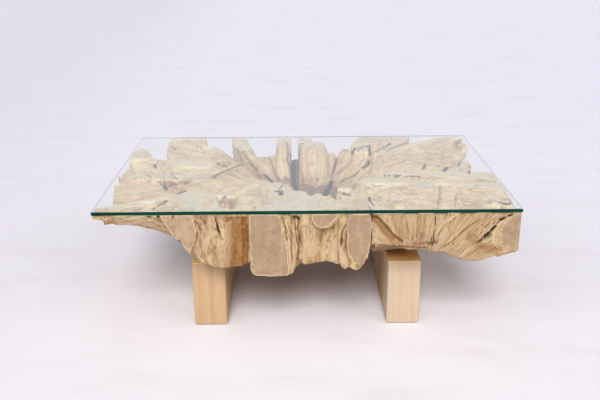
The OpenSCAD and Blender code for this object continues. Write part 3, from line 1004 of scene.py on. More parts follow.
# How much calmer the skin of the long arm is, and over how far it becomes so.
ARM_CALM: Pair = (0.8, 60.0)
# The sizes of the swellings on the skin, how fine its ridges are round the focus, how they
# turn on their way outwards, how sharp they are, and how high the finest ones.
SWELLINGS: Pair = (55.0, 24.0)
RIDGES: tuple[float, float, float] = (24.0, 52.0, 120.0)
RIDGE_TURN: Point3 = (0.004, 0.003, -0.0035)
RIDGE_EDGE = 0.35
FINEST_RIDGE = 0.4
# How far under the saw cut the wood goes down with the sculpted top, and how much further
# for each mm that the top goes down.
SCULPT_ROOM: Pair = (50.0, 2.2)
# Where the stored values rise from 0 to 1: by the slope of the skin, along the arm, along
# the slot, in from its reach, down in it, down in the bowl, in from the bowl's reach, and by
# how natural the top is.
# The slope, the slot and the bowl values set where shade is painted deep in the bowl and the slot;
# the arm value sets where the wood is painted lighter, as lit from above.
FACING_UP: Pair = (-0.1, 0.5)
ARM_TONE: Pair = (-20.0, 50.0)
SLOT_BEGINS_Y: Pair = (60.0, 150.0)
SLOT_REACH = 13.0
SLOT_SIDES: Pair = (-6.0, 0.0)
SLOT_DEPTH: Pair = (2.0, 30.0)
BOWL_DEPTH: Pair = (40.0, 130.0)
BOWL_SIDES: Pair = (0.0, 220.0)
NATURAL_SHARE: Pair = (0.1, 0.6)
# How little of a stroke shows on a sawn end, how strongly a highlight is painted along the edges of
# the dips in the flat top and at most, and how golden the old wood is on average, how much that
# changes, and over how far.
SAWN_HIDES = 0.97
EDGE_LIGHT = 3.0
EDGE_LIGHTEST = 0.8
AGED = 0.10
AGED_CHANGE = 0.16
AGED_SIZE = 80.0
# Cracks, holes, folds and stains on the top, in mm in plan, with painted shade in cracks, holes and
# hollows and painted highlights along ridges and edges.
TOP_STROKES: list[Stroke] = [
    *top_strokes(
        StainAndPaintedLight.CRACK, 1.5,
        (4, 0.75, -215, 236, -201, 168, -195, 136), (5, 0.7, -183, 88, -163, 40, -154, 8),
        (6, 0.95, -131, -40, -109, -96, -103, -120), (5, 0.8, -163, 48, -157, 20),
        (3, 0.7, -243, 272, -242, 266), (6, 0.5, -472, 320, -456, 256),
        (4, 0.6, -494, 212, -488, 184, -478, 152), (3.4, 0.85, -497, 128, -499, 80, -496, 48),
        (4, 0.6, -512, -32, -492, -48), (4.5, 0.9, -440, -108, -430, -152, -422, -180),
        (3, 0.7, -408, -100, -380, -104, -358, -116),
        (5, 1, -291, -60, -283, -36, -263, -8, -243, 32, -215, 68), (8, 1, -291, -56, -288, -48),
        (5, 0.8, -290, 104, -288, 76), (4, 0.85, -274, 62, -256, 56),
        (5.5, 1, -383, -222, -363, -194),
        (3.2, 0.9, -408, -280, -417, -308, -428, -332, -438, -356),
        (5, 0.8, -420, -312, -414, -304), (4.5, 0.9, -246, -266, -239, -250),
        (6.5, 1, -88, -208, -74, -212, -76, -240), (10, 1, -38, 190, -38, -72, -30, -186),
        (3.6, 0.65, -64, 352, -54, 240, -58, 136, -46, 16, -42, -48), (6, 0.5, -8, 332, -4, 324),
        (7, 0.4, 44, 168, 44, 152), (3.6, 0.7, 75, 320, 84, 256), (4, 0.7, 35, -78, 38, -112),
        (9, 1, 80, -120, 72, -160, 56, -240), (7, 0.75, 168, 200, 176, 240, 196, 272, 237, 296),
        (4.6, 1, 237, 288, 233, 224, 227, 168), (13, 0.4, 188, 236, 220, 256),
        (5.5, 0.8, 257, 216, 269, 248, 301, 296, 317, 324), (7, 0.9, 192, 28, 208, 56, 217, 100),
        (3.6, 0.85, 176, -8, 160, -48, 116, -104, 104, -128),
        (4.6, 0.9, 249, -60, 301, -64, 361, -76), (7, 1, 275, -61, 325, -66),
        (6, 0.8, 401, 56, 385, 8), (4.5, 0.7, 437, 48, 443, 32), (6.5, 0.9, 469, 24, 449, -20),
        (8, 0.9, 541, -16, 525, -40), (3.5, 0.6, 521, 80, 505, 24), (3, 0.5, 557, 88, 541, 24),
        (13, 0.55, 573, 360, 557, 296, 553, 256), (8, 0.35, 541, 344, 533, 320),
        (7, 0.7, 597, 400, 585, 368), (4.5, 0.9, 184, -264, 184, -304, 190, -336),
        (5, 0.5, 533, -288, 525, -320), (5, 0.32, 493, -200, 461, -280, 433, -328),
        (6, 0.8, 541, -306, 573, -336, 593, -322), (2.4, 0.5, -222, 180, -214, 120, -203, 60),
        (9, 0.58, -423, -166, -413, -136, -391, -119, -364, -120),
        (9, 0.52, -426, -150, -394, -128), (3.2, 0.85, -461, -93, -442, -137, -423, -180),
        (1.6, 0.6, -470, -90, -448, -135), (12, 0.34, -229, -304, -216, -310),
        (1.8, 0.9, -436, -354, -427, -325, -417, -309, -404, -283),
        (2.6, 0.8, 181, -283, 186, -305), (2.4, 0.6, 196, -283, 201, -305),
        (2.4, 0.6, 209, -264, 221, -260), (4, 0.7, 98, -218, 115, -237)),
    *top_strokes(
        StainAndPaintedLight.BROWN, 1.1,
        (5, 0.75, -199, 160, -187, 120, -175, 64, -163, 16, -151, -24, -139, -64),
        (6, 0.6, -223, 24, -207, -16, -183, -64),
        (4, 0.6, -205, 236, -190, 150, -170, 90, -140, 20, -118, -60),
        (4, 0.4, -250, 150, -238, 110, -214, 60), (4, 0.6, -516, 156, -496, 164, -482, 140),
        (1.6, 0.6, -480, 80, -468, 24, -456, -24, -444, -80, -436, -128),
        (1.4, 0.6, -492, 60, -480, 6, -466, -44, -450, -104, -438, -140),
        (1.4, 0.6, -504, 30, -490, -20, -474, -68, -452, -124),
        (1.4, 0.55, -520, 0, -500, -44, -480, -90, -456, -138),
        (1.4, 0.5, -530, -30, -508, -70, -486, -110, -462, -152),
        (1.4, 0.45, -466, 60, -452, 0, -440, -60), (13, 0.75, -425, -117, -395, -120, -372, -120),
        (11, 0.75, -416, -150, -404, -144), (3.5, 0.8, -430, -30, -418, -62, -402, -80),
        (3, 0.7, -422, -24, -390, -26), (3, 0.45, -382, -44, -376, -74),
        (5, 0.6, -424, 24, -406, 8), (12, 0.6, -271, 86, -250, 92), (6, 0.75, -271, -48, -247, -48),
        (5, 0.5, -240, 10, -222, -2, -206, -14), (7, 0.3, -520, -324, -480, -306, -444, -298),
        (15, 0.7, -240, -288, -220, -292, -216, -344), (2, 0.9, -240, -280, -232, -350),
        (2, 0.9, -222, -280, -224, -350), (2, 0.8, -205, -280, -214, -340),
        (3, 0.6, -119, -252, -104, -256), (6, 0.85, -67, -64, -47, -120, -29, -188),
        (10, 0.6, -86, -74, -64, -120), (7, 0.65, -14, 320, -18, 80, -6, -160, 16, -240),
        (3.4, 0.5, 10, 260, 8, 60, 20, -120), (2.6, 0.4, 30, 100, 30, -60),
        (3, 0.45, 66, 240, 56, 60, 48, -60), (7, 0.9, 84, -206, 108, -232, 128, -248),
        (7, 0.6, 172, 192, 164, 136, 132, 40, 84, -80), (4.5, 0.55, 188, 160, 156, 80, 116, -16),
        (3.6, 0.5, 120, 150, 104, 60, 84, -20), (3.6, 0.45, 210, 140, 180, 60, 150, -10),
        (6, 0.55, 213, -24, 221, -72), (4, 0.4, 262, 150, 268, 110), (7, 0.35, 330, 130, 336, 90),
        (9, 0.5, 182, -192, 200, -166, 240, -160), (12, 0.35, 196, -196, 214, -186),
        (3, 0.6, 217, -264, 200, -320), (4.5, 0.65, 409, -160, 397, -240, 373, -336),
        (2.6, 0.5, 390, -170, 386, -220), (3, 0.6, 469, -184, 437, -272, 421, -344),
        (6, 0.5, 560, -290, 600, -300), (2.4, 0.4, 440, 210, 420, 130),
        (2.4, 0.45, 500, 260, 476, 150)),
    *top_strokes(
        StainAndPaintedLight.GOLD, 0.0,
        (6, 0.5, -383, -332, -366, -334), (6, 0.6, -291, -214, -271, -234),
        (5, 0.4, -250, -160, -258, -200), (6, 0.4, -178, -90, -168, -120),
        (5, 0.3, -440, 160, -430, 100), (14, 0.3, 341, 330, 350, 290),
        (5, 0.4, 150, -170, 156, -130), (6, 0.35, -590, 80, -560, 0)),
    *top_strokes(
        StainAndPaintedLight.LIGHT, -0.08,
        (24, 0.55, -576, 120, -548, 20, -510, -60), (26, 0.6, -584, -140, -540, -180, -470, -170),
        (16, 0.5, -560, -240, -500, -236), (16, 0.7, -416, 40, -340, 48, -322, 0),
        (18, 0.75, -279, -112, -247, -144, -167, -84, -151, -144, -199, -224),
        (4.6, 0.95, -600, -354, -552, -338, -516, -324),
        (4.6, 0.8, -296, 124, -270, 130, -244, 118),
        (5, 0.8, -300, -20, -272, 14, -244, 52, -220, 84),
        (5, 0.7, -400, -92, -376, -60, -384, -24), (7, 0.6, -180, 180, -150, 80, -118, -10),
        (8, 0.5, -100, 120, -92, 20, -84, -50), (6, 0.85, 229, 168, 301, 224, 381, 280, 493, 352),
        (8, 0.5, 100, 16, 180, 136, 222, 176),
        (3.6, 0.9, 297, -152, 333, -200, 381, -206, 405, -152, 493, -176, 541, -200, 600, -208),
        (4.4, 0.9, 100, -176, 164, -120, 180, -150, 301, -150), (14, 0.5, 110, -150, 150, -146),
        (13, 0.6, 541, -232, 600, -260), (9, 0.8, -452, -330, -440, -290, -420, -262, -392, -262),
        (8, 0.7, -410, -340, -380, -350, -340, -352), (12, 0.6, -300, -276, -288, -330),
        (13, 0.55, -186, -250, -176, -340), (9, 0.5, -130, -150, -128, -230),
        (8, 0.4, -110, -300, -60, -330), (6, 0.4, -64, -252, -30, -270),
        (7, 0.5, 60, -292, 130, -290), (5, 0.4, -340, -200, -300, -240),
        (6, 0.5, 440, -96, 600, -140), (4, 0.5, 280, -30, 430, -40, 600, -70),
        (5, 0.4, 20, 60, 14, -100), (5, 0.4, -30, -250, 20, -262), (8, 0.4, 250, 8, 420, 20)),
]

# The lower edge of the front, as x and z in mm, read from the photo.
KNEE_HEM: list[Point] = [
    (-597, 401), (-588, 398), (-569, 392), (-567, 378), (-546, 382), (-524, 385), (-497, 382),
    (-466, 375), (-436, 365), (-406, 352), (-381, 340), (-361, 323), (-343, 300), (-330, 273),
    (-300, 262), (-276, 252), (-258, 247), (-239, 244), (-213, 248), (-191, 251), (-166, 257)]
FOLD_HEM: list[Point] = [
    (-162, 236), (-158, 226), (-147, 220), (-112, 218), (-81, 218), (-47, 221), (-38, 232),
    (-32, 243), (-17, 250), (-1, 254), (15, 257), (34, 261), (56, 264), (72, 260), (88, 250),
    (102, 240), (123, 237), (141, 235), (152, 240), (164, 258), (173, 271), (177, 285),
    (182, 306)]
FAN_HEM: list[Point] = [
    (185, 306), (219, 309), (257, 306), (304, 304), (327, 303), (352, 300), (384, 293),
    (410, 282), (432, 273), (455, 267), (481, 263), (500, 265), (518, 271), (537, 276),
    (562, 281), (587, 285), (596, 289)]
# Cracks, folds and stains on the front, in mm, read from the photo.
# The dark cracks carry painted shade, some brown strokes paint the shade in folds, and the light
# strokes paint highlights on ridges and rims.
KNEE_STROKES: list[Stroke] = [
    *strokes(
        StainAndPaintedLight.GOLD,
        (34, 0, 0.84, -200, 404, -198, 330, -204, 262),
        (20, 0, 0.95, -180, 404, -177, 330, -183, 256), (22, 0, 0.22, -272, 300, -250, 262),
        (8, -1, 0.9, -225, 402, -222, 392), (8, 0, 0.7, -566, 386, -540, 387)),
    *strokes(
        StainAndPaintedLight.BROWN,
        (6, 0, 0.6, -172, 372, -170, 300), (1.4, 0, 0.7, -184, 392, -180, 330),
        (1.4, 0, 0.7, -192, 350, -194, 296), (1.2, 0, 0.5, -202, 380, -200, 340),
        (1.4, 0, 0.7, -181, 320, -183, 286), (1.2, 0, 0.5, -210, 310, -212, 276),
        (1.2, 0, 0.4, -230, 300, -226, 262), (1.2, 0, 0.4, -262, 392, -250, 340),
        (1.4, 0, 0.5, -292, 350, -284, 316), (1.2, 0, 0.4, -276, 312, -262, 288),
        (2.2, 1, 0.9, -170, 302, -171, 258), (2, 1, 0.8, -196, 286, -196, 260),
        (1.8, 0, 0.8, -176, 296, -174, 272),
        (1.6, 1.5, 0.95, -241, 404, -238, 392, -227, 383, -216, 390, -213, 404),
        (0.8, 0.5, 0.5, -232, 402, -226, 394, -221, 402), (1.4, 0, 0.7, -268, 394, -256, 372),
        (1.8, 0.6, 0.6, -301, 296, -282, 274, -262, 254), (1.4, 0, 0.45, -290, 302, -268, 272),
        (1.2, 0.6, 0.5, -590, 401, -500, 397, -446, 392),
        (1.4, 0.6, 0.5, -560, 394, -480, 387, -408, 374)),
    *strokes(
        StainAndPaintedLight.LIGHT,
        (3.4, 0, 0.9, -209, 402, -204, 372), (2.6, 0, 0.8, -191, 402, -187, 384),
        (5.5, -0.6, 0.85, -407, 404, -394, 372, -381, 346, -352, 318, -330, 302),
        (5, 0, 0.6, -306, 372, -308, 330, -318, 308), (8, 0, 0.4, -270, 360, -262, 320)),
    *strokes(
        StainAndPaintedLight.CRACK,
        (1.5, 1.5, 0.85, -260, 404, -252, 369), (2.6, 2.5, 1, -254, 374, -248, 352),
        (1.3, 1.2, 0.85, -248, 352, -243, 331), (1.3, 1, 0.75, -304, 404, -295, 389),
        (1.6, 1, 0.75, -314, 390, -302, 374), (1.6, 1, 0.75, -306, 372, -301, 361),
        (1.2, 1, 0.7, -297, 401, -286, 382), (1.4, 0.6, 0.6, -312, 404, -307, 396),
        (1.8, 1, 0.8, -288, 337, -287, 335), (5, 6, 1, -444, 400, -436, 402, -428, 406),
        (3.4, 5, 1, -422, 405, -418, 395), (2.6, 3, 0.9, -414, 392, -412, 398)),
]
FOLD_STROKES: list[Stroke] = [
    *strokes(
        StainAndPaintedLight.BROWN,
        (2.4, 0.8, 0.9, -36, 404, -33, 352, -27, 310), (1.8, 0.4, 0.75, -21, 348, -21, 313),
        (1.5, 0.4, 0.75, -71, 400, -45, 324, -45, 258), (1.5, 0.3, 0.65, -62, 397, -39, 334),
        (1.8, 0.4, 0.75, -82, 404, -71, 369), (2.2, 0.4, 0.65, -50, 317, -42, 272),
        (7, 0.6, 0.45, 48, 369, 39, 334, 36, 317), (5, 0.3, 0.3, 30, 372, 26, 350),
        (2.4, 2, 0.85, -71, 402, -63, 366, -57, 330), (2.2, 1.5, 0.6, -46, 402, -42, 376),
        (4.5, 5, 0.85, -24, 396, -26, 360, -22, 320, -28, 262), (3.5, 2, 0.6, -13, 336, -14, 298),
        (9, 0, 0.28, 52, 364, 56, 330), (3.6, 4, 0.7, 108, 372, 97, 344, 97, 312)),
    *strokes(
        StainAndPaintedLight.LIGHT,
        (13, 0, 0.35, -60, 392, -52, 330, -54, 250), (10, 0, 0.3, -10, 340, -8, 262),
        (3, -0.8, 0.85, 80, 401, 85, 352, 85, 307),
        (3, -0.6, 0.9, -88, 401, -79, 362, -65, 317, -62, 244),
        (2.6, -0.4, 0.8, -7, 380, 13, 359, 39, 372, 71, 401), (12, 0, 0.4, 2, 300, 40, 290),
        (5, -1.5, 0.95, -60, 384, -53, 330, -47, 270, -44, 228),
        (3.6, -0.5, 0.6, -38, 334, -37, 282, -38, 246), (4, -1, 0.5, -9, 396, -5, 330),
        (5, -1, 0.95, 102, 400, 104, 372), (10, -1, 0.75, 84, 308, 100, 284, 108, 260),
        (3.4, 0, 0.8, 11, 402, 18, 378, 36, 362, 56, 370, 80, 392)),
    *strokes(
        StainAndPaintedLight.GOLD,
        (6, 0, 0.7, 108, 346, 108, 308), (7, 0, 0.5, 114, 300, 117, 268),
        (9, 0, 0.35, -40, 350, -36, 300), (10, 0, 0.4, -30, 392, -18, 384)),
    *strokes(
        StainAndPaintedLight.CRACK,
        (2.8, 1.5, 1, -148, 395, -144, 393), (3.6, 2, 0.95, -41, 401, -36, 394),
        (2.6, 1.5, 0.9, -146, 398, -145, 396), (2.3, 4, 1, -146, 398, -146, 396),
        (3, 4, 0.85, -31, 403, -25, 388), (2, 2, 0.75, -16, 400, -20, 386),
        (1.8, 1.5, 0.6, -38, 404, -36, 396), (1.8, 2, 0.6, 97, 330, 98, 316)),
]
FAN_STROKES: list[Stroke] = [
    *strokes(
        StainAndPaintedLight.GOLD,
        (11, 0, 0.75, 186, 392, 214, 366, 240, 332), (20, 0, 0.55, 458, 334, 500, 300, 540, 296),
        (9, 0, 0.5, 304, 318, 352, 316), (3, 0, 0.6, 198, 312, 300, 308)),
    *strokes(
        StainAndPaintedLight.BROWN,
        (6, 5, 0.95, 182, 401, 203, 391, 224, 366, 243, 342, 268, 324),
        (3, 1, 0.6, 192, 372, 214, 350, 232, 334), (1.6, 1, 0.7, 243, 346, 263, 330),
        (2.2, 1, 0.6, 252, 322, 262, 309), (2.4, 0, 0.75, 216, 308, 300, 305, 340, 303),
        (2.2, 2.2, 0.6, 368, 340, 388, 370, 420, 398),
        (2, 3, 0.85, 384, 301, 406, 322, 430, 344, 456, 367, 484, 390),
        (1.6, 1, 0.45, 330, 402, 326, 350), (1.5, 1, 0.45, 420, 310, 446, 334),
        (4, 0, 0.4, 470, 280, 500, 292), (2.2, 0.6, 0.6, 500, 330, 516, 318)),
    *strokes(
        StainAndPaintedLight.LIGHT,
        (2.8, -1.6, 0.8, 363, 346, 382, 376, 416, 402), (10, 0, 0.5, 190, 350, 212, 336),
        (6, 0, 0.45, 196, 320, 228, 316), (4, 0, 0.8, 540, 298, 524, 320, 526, 352, 546, 384),
        (7, 0, 0.45, 460, 300, 440, 276)),
    *strokes(
        StainAndPaintedLight.CRACK,
        (2.6, 2, 0.6, 187, 400, 206, 386), (1.7, 1, 0.7, 223, 392, 226, 382),
        (1.8, 1.4, 0.9, 358, 394, 359, 371), (1.9, 1.2, 0.8, 356, 358, 356, 334),
        (6, 0.6, 0.55, 344, 317, 362, 319), (2.6, 1.2, 0.85, 352, 310, 357, 331),
        (2.2, 0.6, 0.7, 343, 312, 337, 324), (2.2, 0.6, 0.7, 364, 312, 372, 327),
        (1.8, 0.5, 0.8, 349, 322, 350, 334), (1.6, 0.4, 0.6, 296, 332, 292, 318),
        (1.6, 0.4, 0.6, 310, 342, 306, 330), (1.6, 0.4, 0.6, 324, 346, 322, 334),
        (4, 0, 0.42, 304, 323, 321, 331), (4, 0, 0.42, 316, 312, 332, 318),
        (2, 0, 0.4, 336, 330, 340, 344), (3, 1, 0.85, 484, 320, 493, 328),
        (6.5, 2.4, 0.85, 499, 334, 512, 347), (4, 1, 0.6, 508, 332, 518, 340),
        (4.6, 2.4, 0.9, 518, 354, 527, 366), (2.6, 1, 0.7, 531, 374, 538, 381),
        (4.4, 2.4, 0.95, 540, 384, 552, 392), (2.6, 1.6, 0.9, 558, 396, 572, 402),
        (1.6, 0.8, 0.75, 496, 362, 512, 377), (1.6, 0.8, 0.75, 508, 380, 526, 394),
        (1.4, 0.6, 0.6, 520, 372, 529, 381), (1.6, 0.6, 0.6, 486, 346, 494, 354),
        (1.8, 0.6, 0.6, 470, 340, 480, 331), (1.6, 0.6, 0.55, 448, 352, 456, 346),
        (2.2, 0.6, 0.6, 404, 296, 412, 302), (2, 0.6, 0.5, 538, 296, 530, 304),
        (1.6, 0.4, 0.5, 478, 312, 484, 318)),
]


def top_shape(p: np.ndarray) -> tuple[np.ndarray, np.ndarray]:
    """Works out the sculpted top: how far it lies under the saw cut, and where it is natural.

    Args:
        p: points in mm.

    Returns:
        The depth in mm, and 1 where the surface is natural and 0 where it is sawn flat.
    """
    plan = p[:, :2]
    bent = plan + bend(p, *DIP_BEND, 301)
    depth = np.zeros(len(p))
    natural = np.zeros(len(p))
    for dip in HOLLOWS:
        share = eased(depth_inside(bent, dip.outline), -1.0, dip.soft)
        if not share.any():
            continue
        low = np.minimum(dip.step + dip.fall * line_distance(plan, dip.ridge), dip.deepest)
        depth = np.maximum(depth, share * low)
        natural = np.maximum(natural, share)
    way = plan - np.array(TOP_MIDDLE)
    reach = np.linalg.norm(way, axis=1)[:, None]
    turn = np.concatenate([way / np.maximum(reach, 1.0), reach / 900.0], axis=1)
    broad, close, fine = (lattice_noise(turn * often, seed) for often, seed in TOP_WAVES)
    waves = 1.6 - 2.2 * np.abs(broad) - 1.5 * np.abs(close) + 0.5 * fine
    swell = lattice_noise(p / 60.0, 314) + 0.5 * lattice_noise(p / 22.0, 315)
    rough = NATURAL_DEPTH - 3.4 * waves + 3.0 * swell
    depth += natural * np.clip(rough, 0.0, NATURAL_DEEPEST)
    clear = np.full(len(p), 1.0)
    for spot in BUMPERS:
        off_spot = np.linalg.norm(plan - np.array(spot), axis=1)
        clear = np.minimum(clear, eased(off_spot, *BUMPER_CLEARANCE))
    return depth * clear, natural


def linked(name: str, data: Any) -> bpy.types.Object:
    """Makes an object and links it to the scene.

    Args:
        name: its name.
        data: its mesh, lamp or camera.

    Returns:
        The object.
    """
    made = bpy.data.objects.new(name, data)
    bpy.context.scene.collection.objects.link(made)
    return made


@contextmanager
def edited(mesh: bpy.types.Mesh,
           source: bpy.types.Mesh | None = None) -> Iterator[bmesh.types.BMesh]:
    """Opens a mesh for the bmesh operators, and writes the result at the end.

    Args:
        mesh: the mesh that is written.
        source: the mesh that is read, where it is another one.

    Yields:
        The bmesh.
    """
    bm = bmesh.new()
    bm.from_mesh(source or mesh)
    yield bm
    bm.to_mesh(mesh)
    bm.free()


def smoothed(mesh: bpy.types.Mesh, sharp_from: float) -> None:
    """Shades a mesh smooth, with its sharp edges kept.

    Args:
        mesh: the mesh.
        sharp_from: the angle in degrees from which an edge is sharp.
    """
    mesh.polygons.foreach_set("use_smooth", np.ones(len(mesh.polygons), dtype=bool))
    mesh.update()
    mesh.set_sharp_from_angle(angle=math.radians(sharp_from))


def merged_copy(node: str, name: str) -> bpy.types.Object:
    """Copies a CAD node's mesh into a new piece, with its loose triangles merged.

    Args:
        node: the CAD node.
        name: the new piece's name.

    Returns:
        The new piece, linked to the scene.
    """
    mesh = bpy.data.meshes.new(name)
    with edited(mesh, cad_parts[node].data) as bm:
        bmesh.ops.remove_doubles(bm, verts=bm.verts, dist=1e-6)
    mesh.materials.clear()
    return linked(name, mesh)


class Skin:
    """The vertices of a section's mesh, in mm, and the edges between them."""

    relax_steps: int = 30
    pull: float = 0.62
    push: float = -0.30
    even_pull: float = 0.7
    widest_rim: float = 60.0

    def __init__(self, mesh: bpy.types.Mesh) -> None:
        """Reads a mesh."""
        self.mesh = mesh
        places = np.empty(len(mesh.vertices) * 3)
        mesh.vertices.foreach_get("co", places)
        self.p = places.reshape(-1, 3) * METRE
        ends = np.empty(len(mesh.edges) * 2, dtype=np.int32)
        mesh.edges.foreach_get("vertices", ends)
        self.a, self.b = ends.reshape(-1, 2).T

    def normals(self) -> np.ndarray:
        """Writes the vertices into the mesh.

        Returns:
            Their normals.
        """
        self.mesh.vertices.foreach_set("co", (self.p / METRE).ravel())
        self.mesh.update()
        normals = np.empty(self.p.size)
        self.mesh.vertices.foreach_get("normal", normals)
        return normals.reshape(-1, 3)

    @staticmethod
    def _around(values: np.ndarray, a: np.ndarray, b: np.ndarray) -> np.ndarray:
        """Adds up the values of each vertex's neighbours, along the edges from a to b."""
        count = len(values)
        return np.bincount(a, values[b], count) + np.bincount(b, values[a], count)

    def _degree(self, a: np.ndarray, b: np.ndarray) -> np.ndarray:
        """Counts each vertex's neighbours, and 1 where it has none."""
        return np.maximum(self._around(np.ones(len(self.p)), a, b), 1.0)

    def relax(self, loose: np.ndarray) -> None:
        """Smooths the loose vertices without shrinking the limbs much.

        Args:
            loose: which of them may move.
        """
        degree = self._degree(self.a, self.b)[:, None]
        weight = np.where(loose, 1.0, 0.0)[:, None]
        for step in range(self.relax_steps):
            total = np.stack([self._around(line, self.a, self.b) for line in self.p.T], axis=1)
            share = self.pull if step % 2 == 0 else self.push
            self.p = self.p + weight * share * (total / degree - self.p)

    def even(self, loose: np.ndarray, axes: list[int], steps: int) -> None:
        """Spreads the loose vertices evenly between their neighbours.

        Args:
            loose: which of them move.
            axes: the directions they move in.
            steps: how many times.
        """
        use = loose[self.a] | loose[self.b]
        a, b = self.a[use], self.b[use]
        degree = self._degree(a, b)[loose]
        for _ in range(steps):
            for axis in axes:
                total = self._around(self.p[:, axis], a, b)[loose]
                self.p[loose, axis] += self.even_pull * (total / degree - self.p[loose, axis])

    def rim(self, cut: np.ndarray) -> np.ndarray:
        """Measures how far each cut vertex lies from the outline of its cut.

        Args:
            cut: 1 on a flat cut, else 0.

        Returns:
            The distance in mm, up to the widest rim, and 0 off the cuts.
        """
        a, b = (ends[cut[self.a] != cut[self.b]] for ends in (self.a, self.b))
        outline = np.unique(np.where(cut[a] > 0, a, b))
        result = np.zeros(len(self.p))
        if len(outline) == 0:
            return result
        tree = KDTree(len(outline))
        for i, index in enumerate(outline):
            tree.insert(self.p[index], i)
        tree.balance()
        for index in np.where(cut > 0)[0]:
            result[index] = min(tree.find(self.p[index])[2], self.widest_rim)
        return result


class Cut(Enum):
    """What a vertex of a section lies on, as the number kept for it."""

    NONE = 0.0
    BEHIND = 0.5
    SEAM = 1.0
    SAWN = 2.0
    LEVEL = 3.0


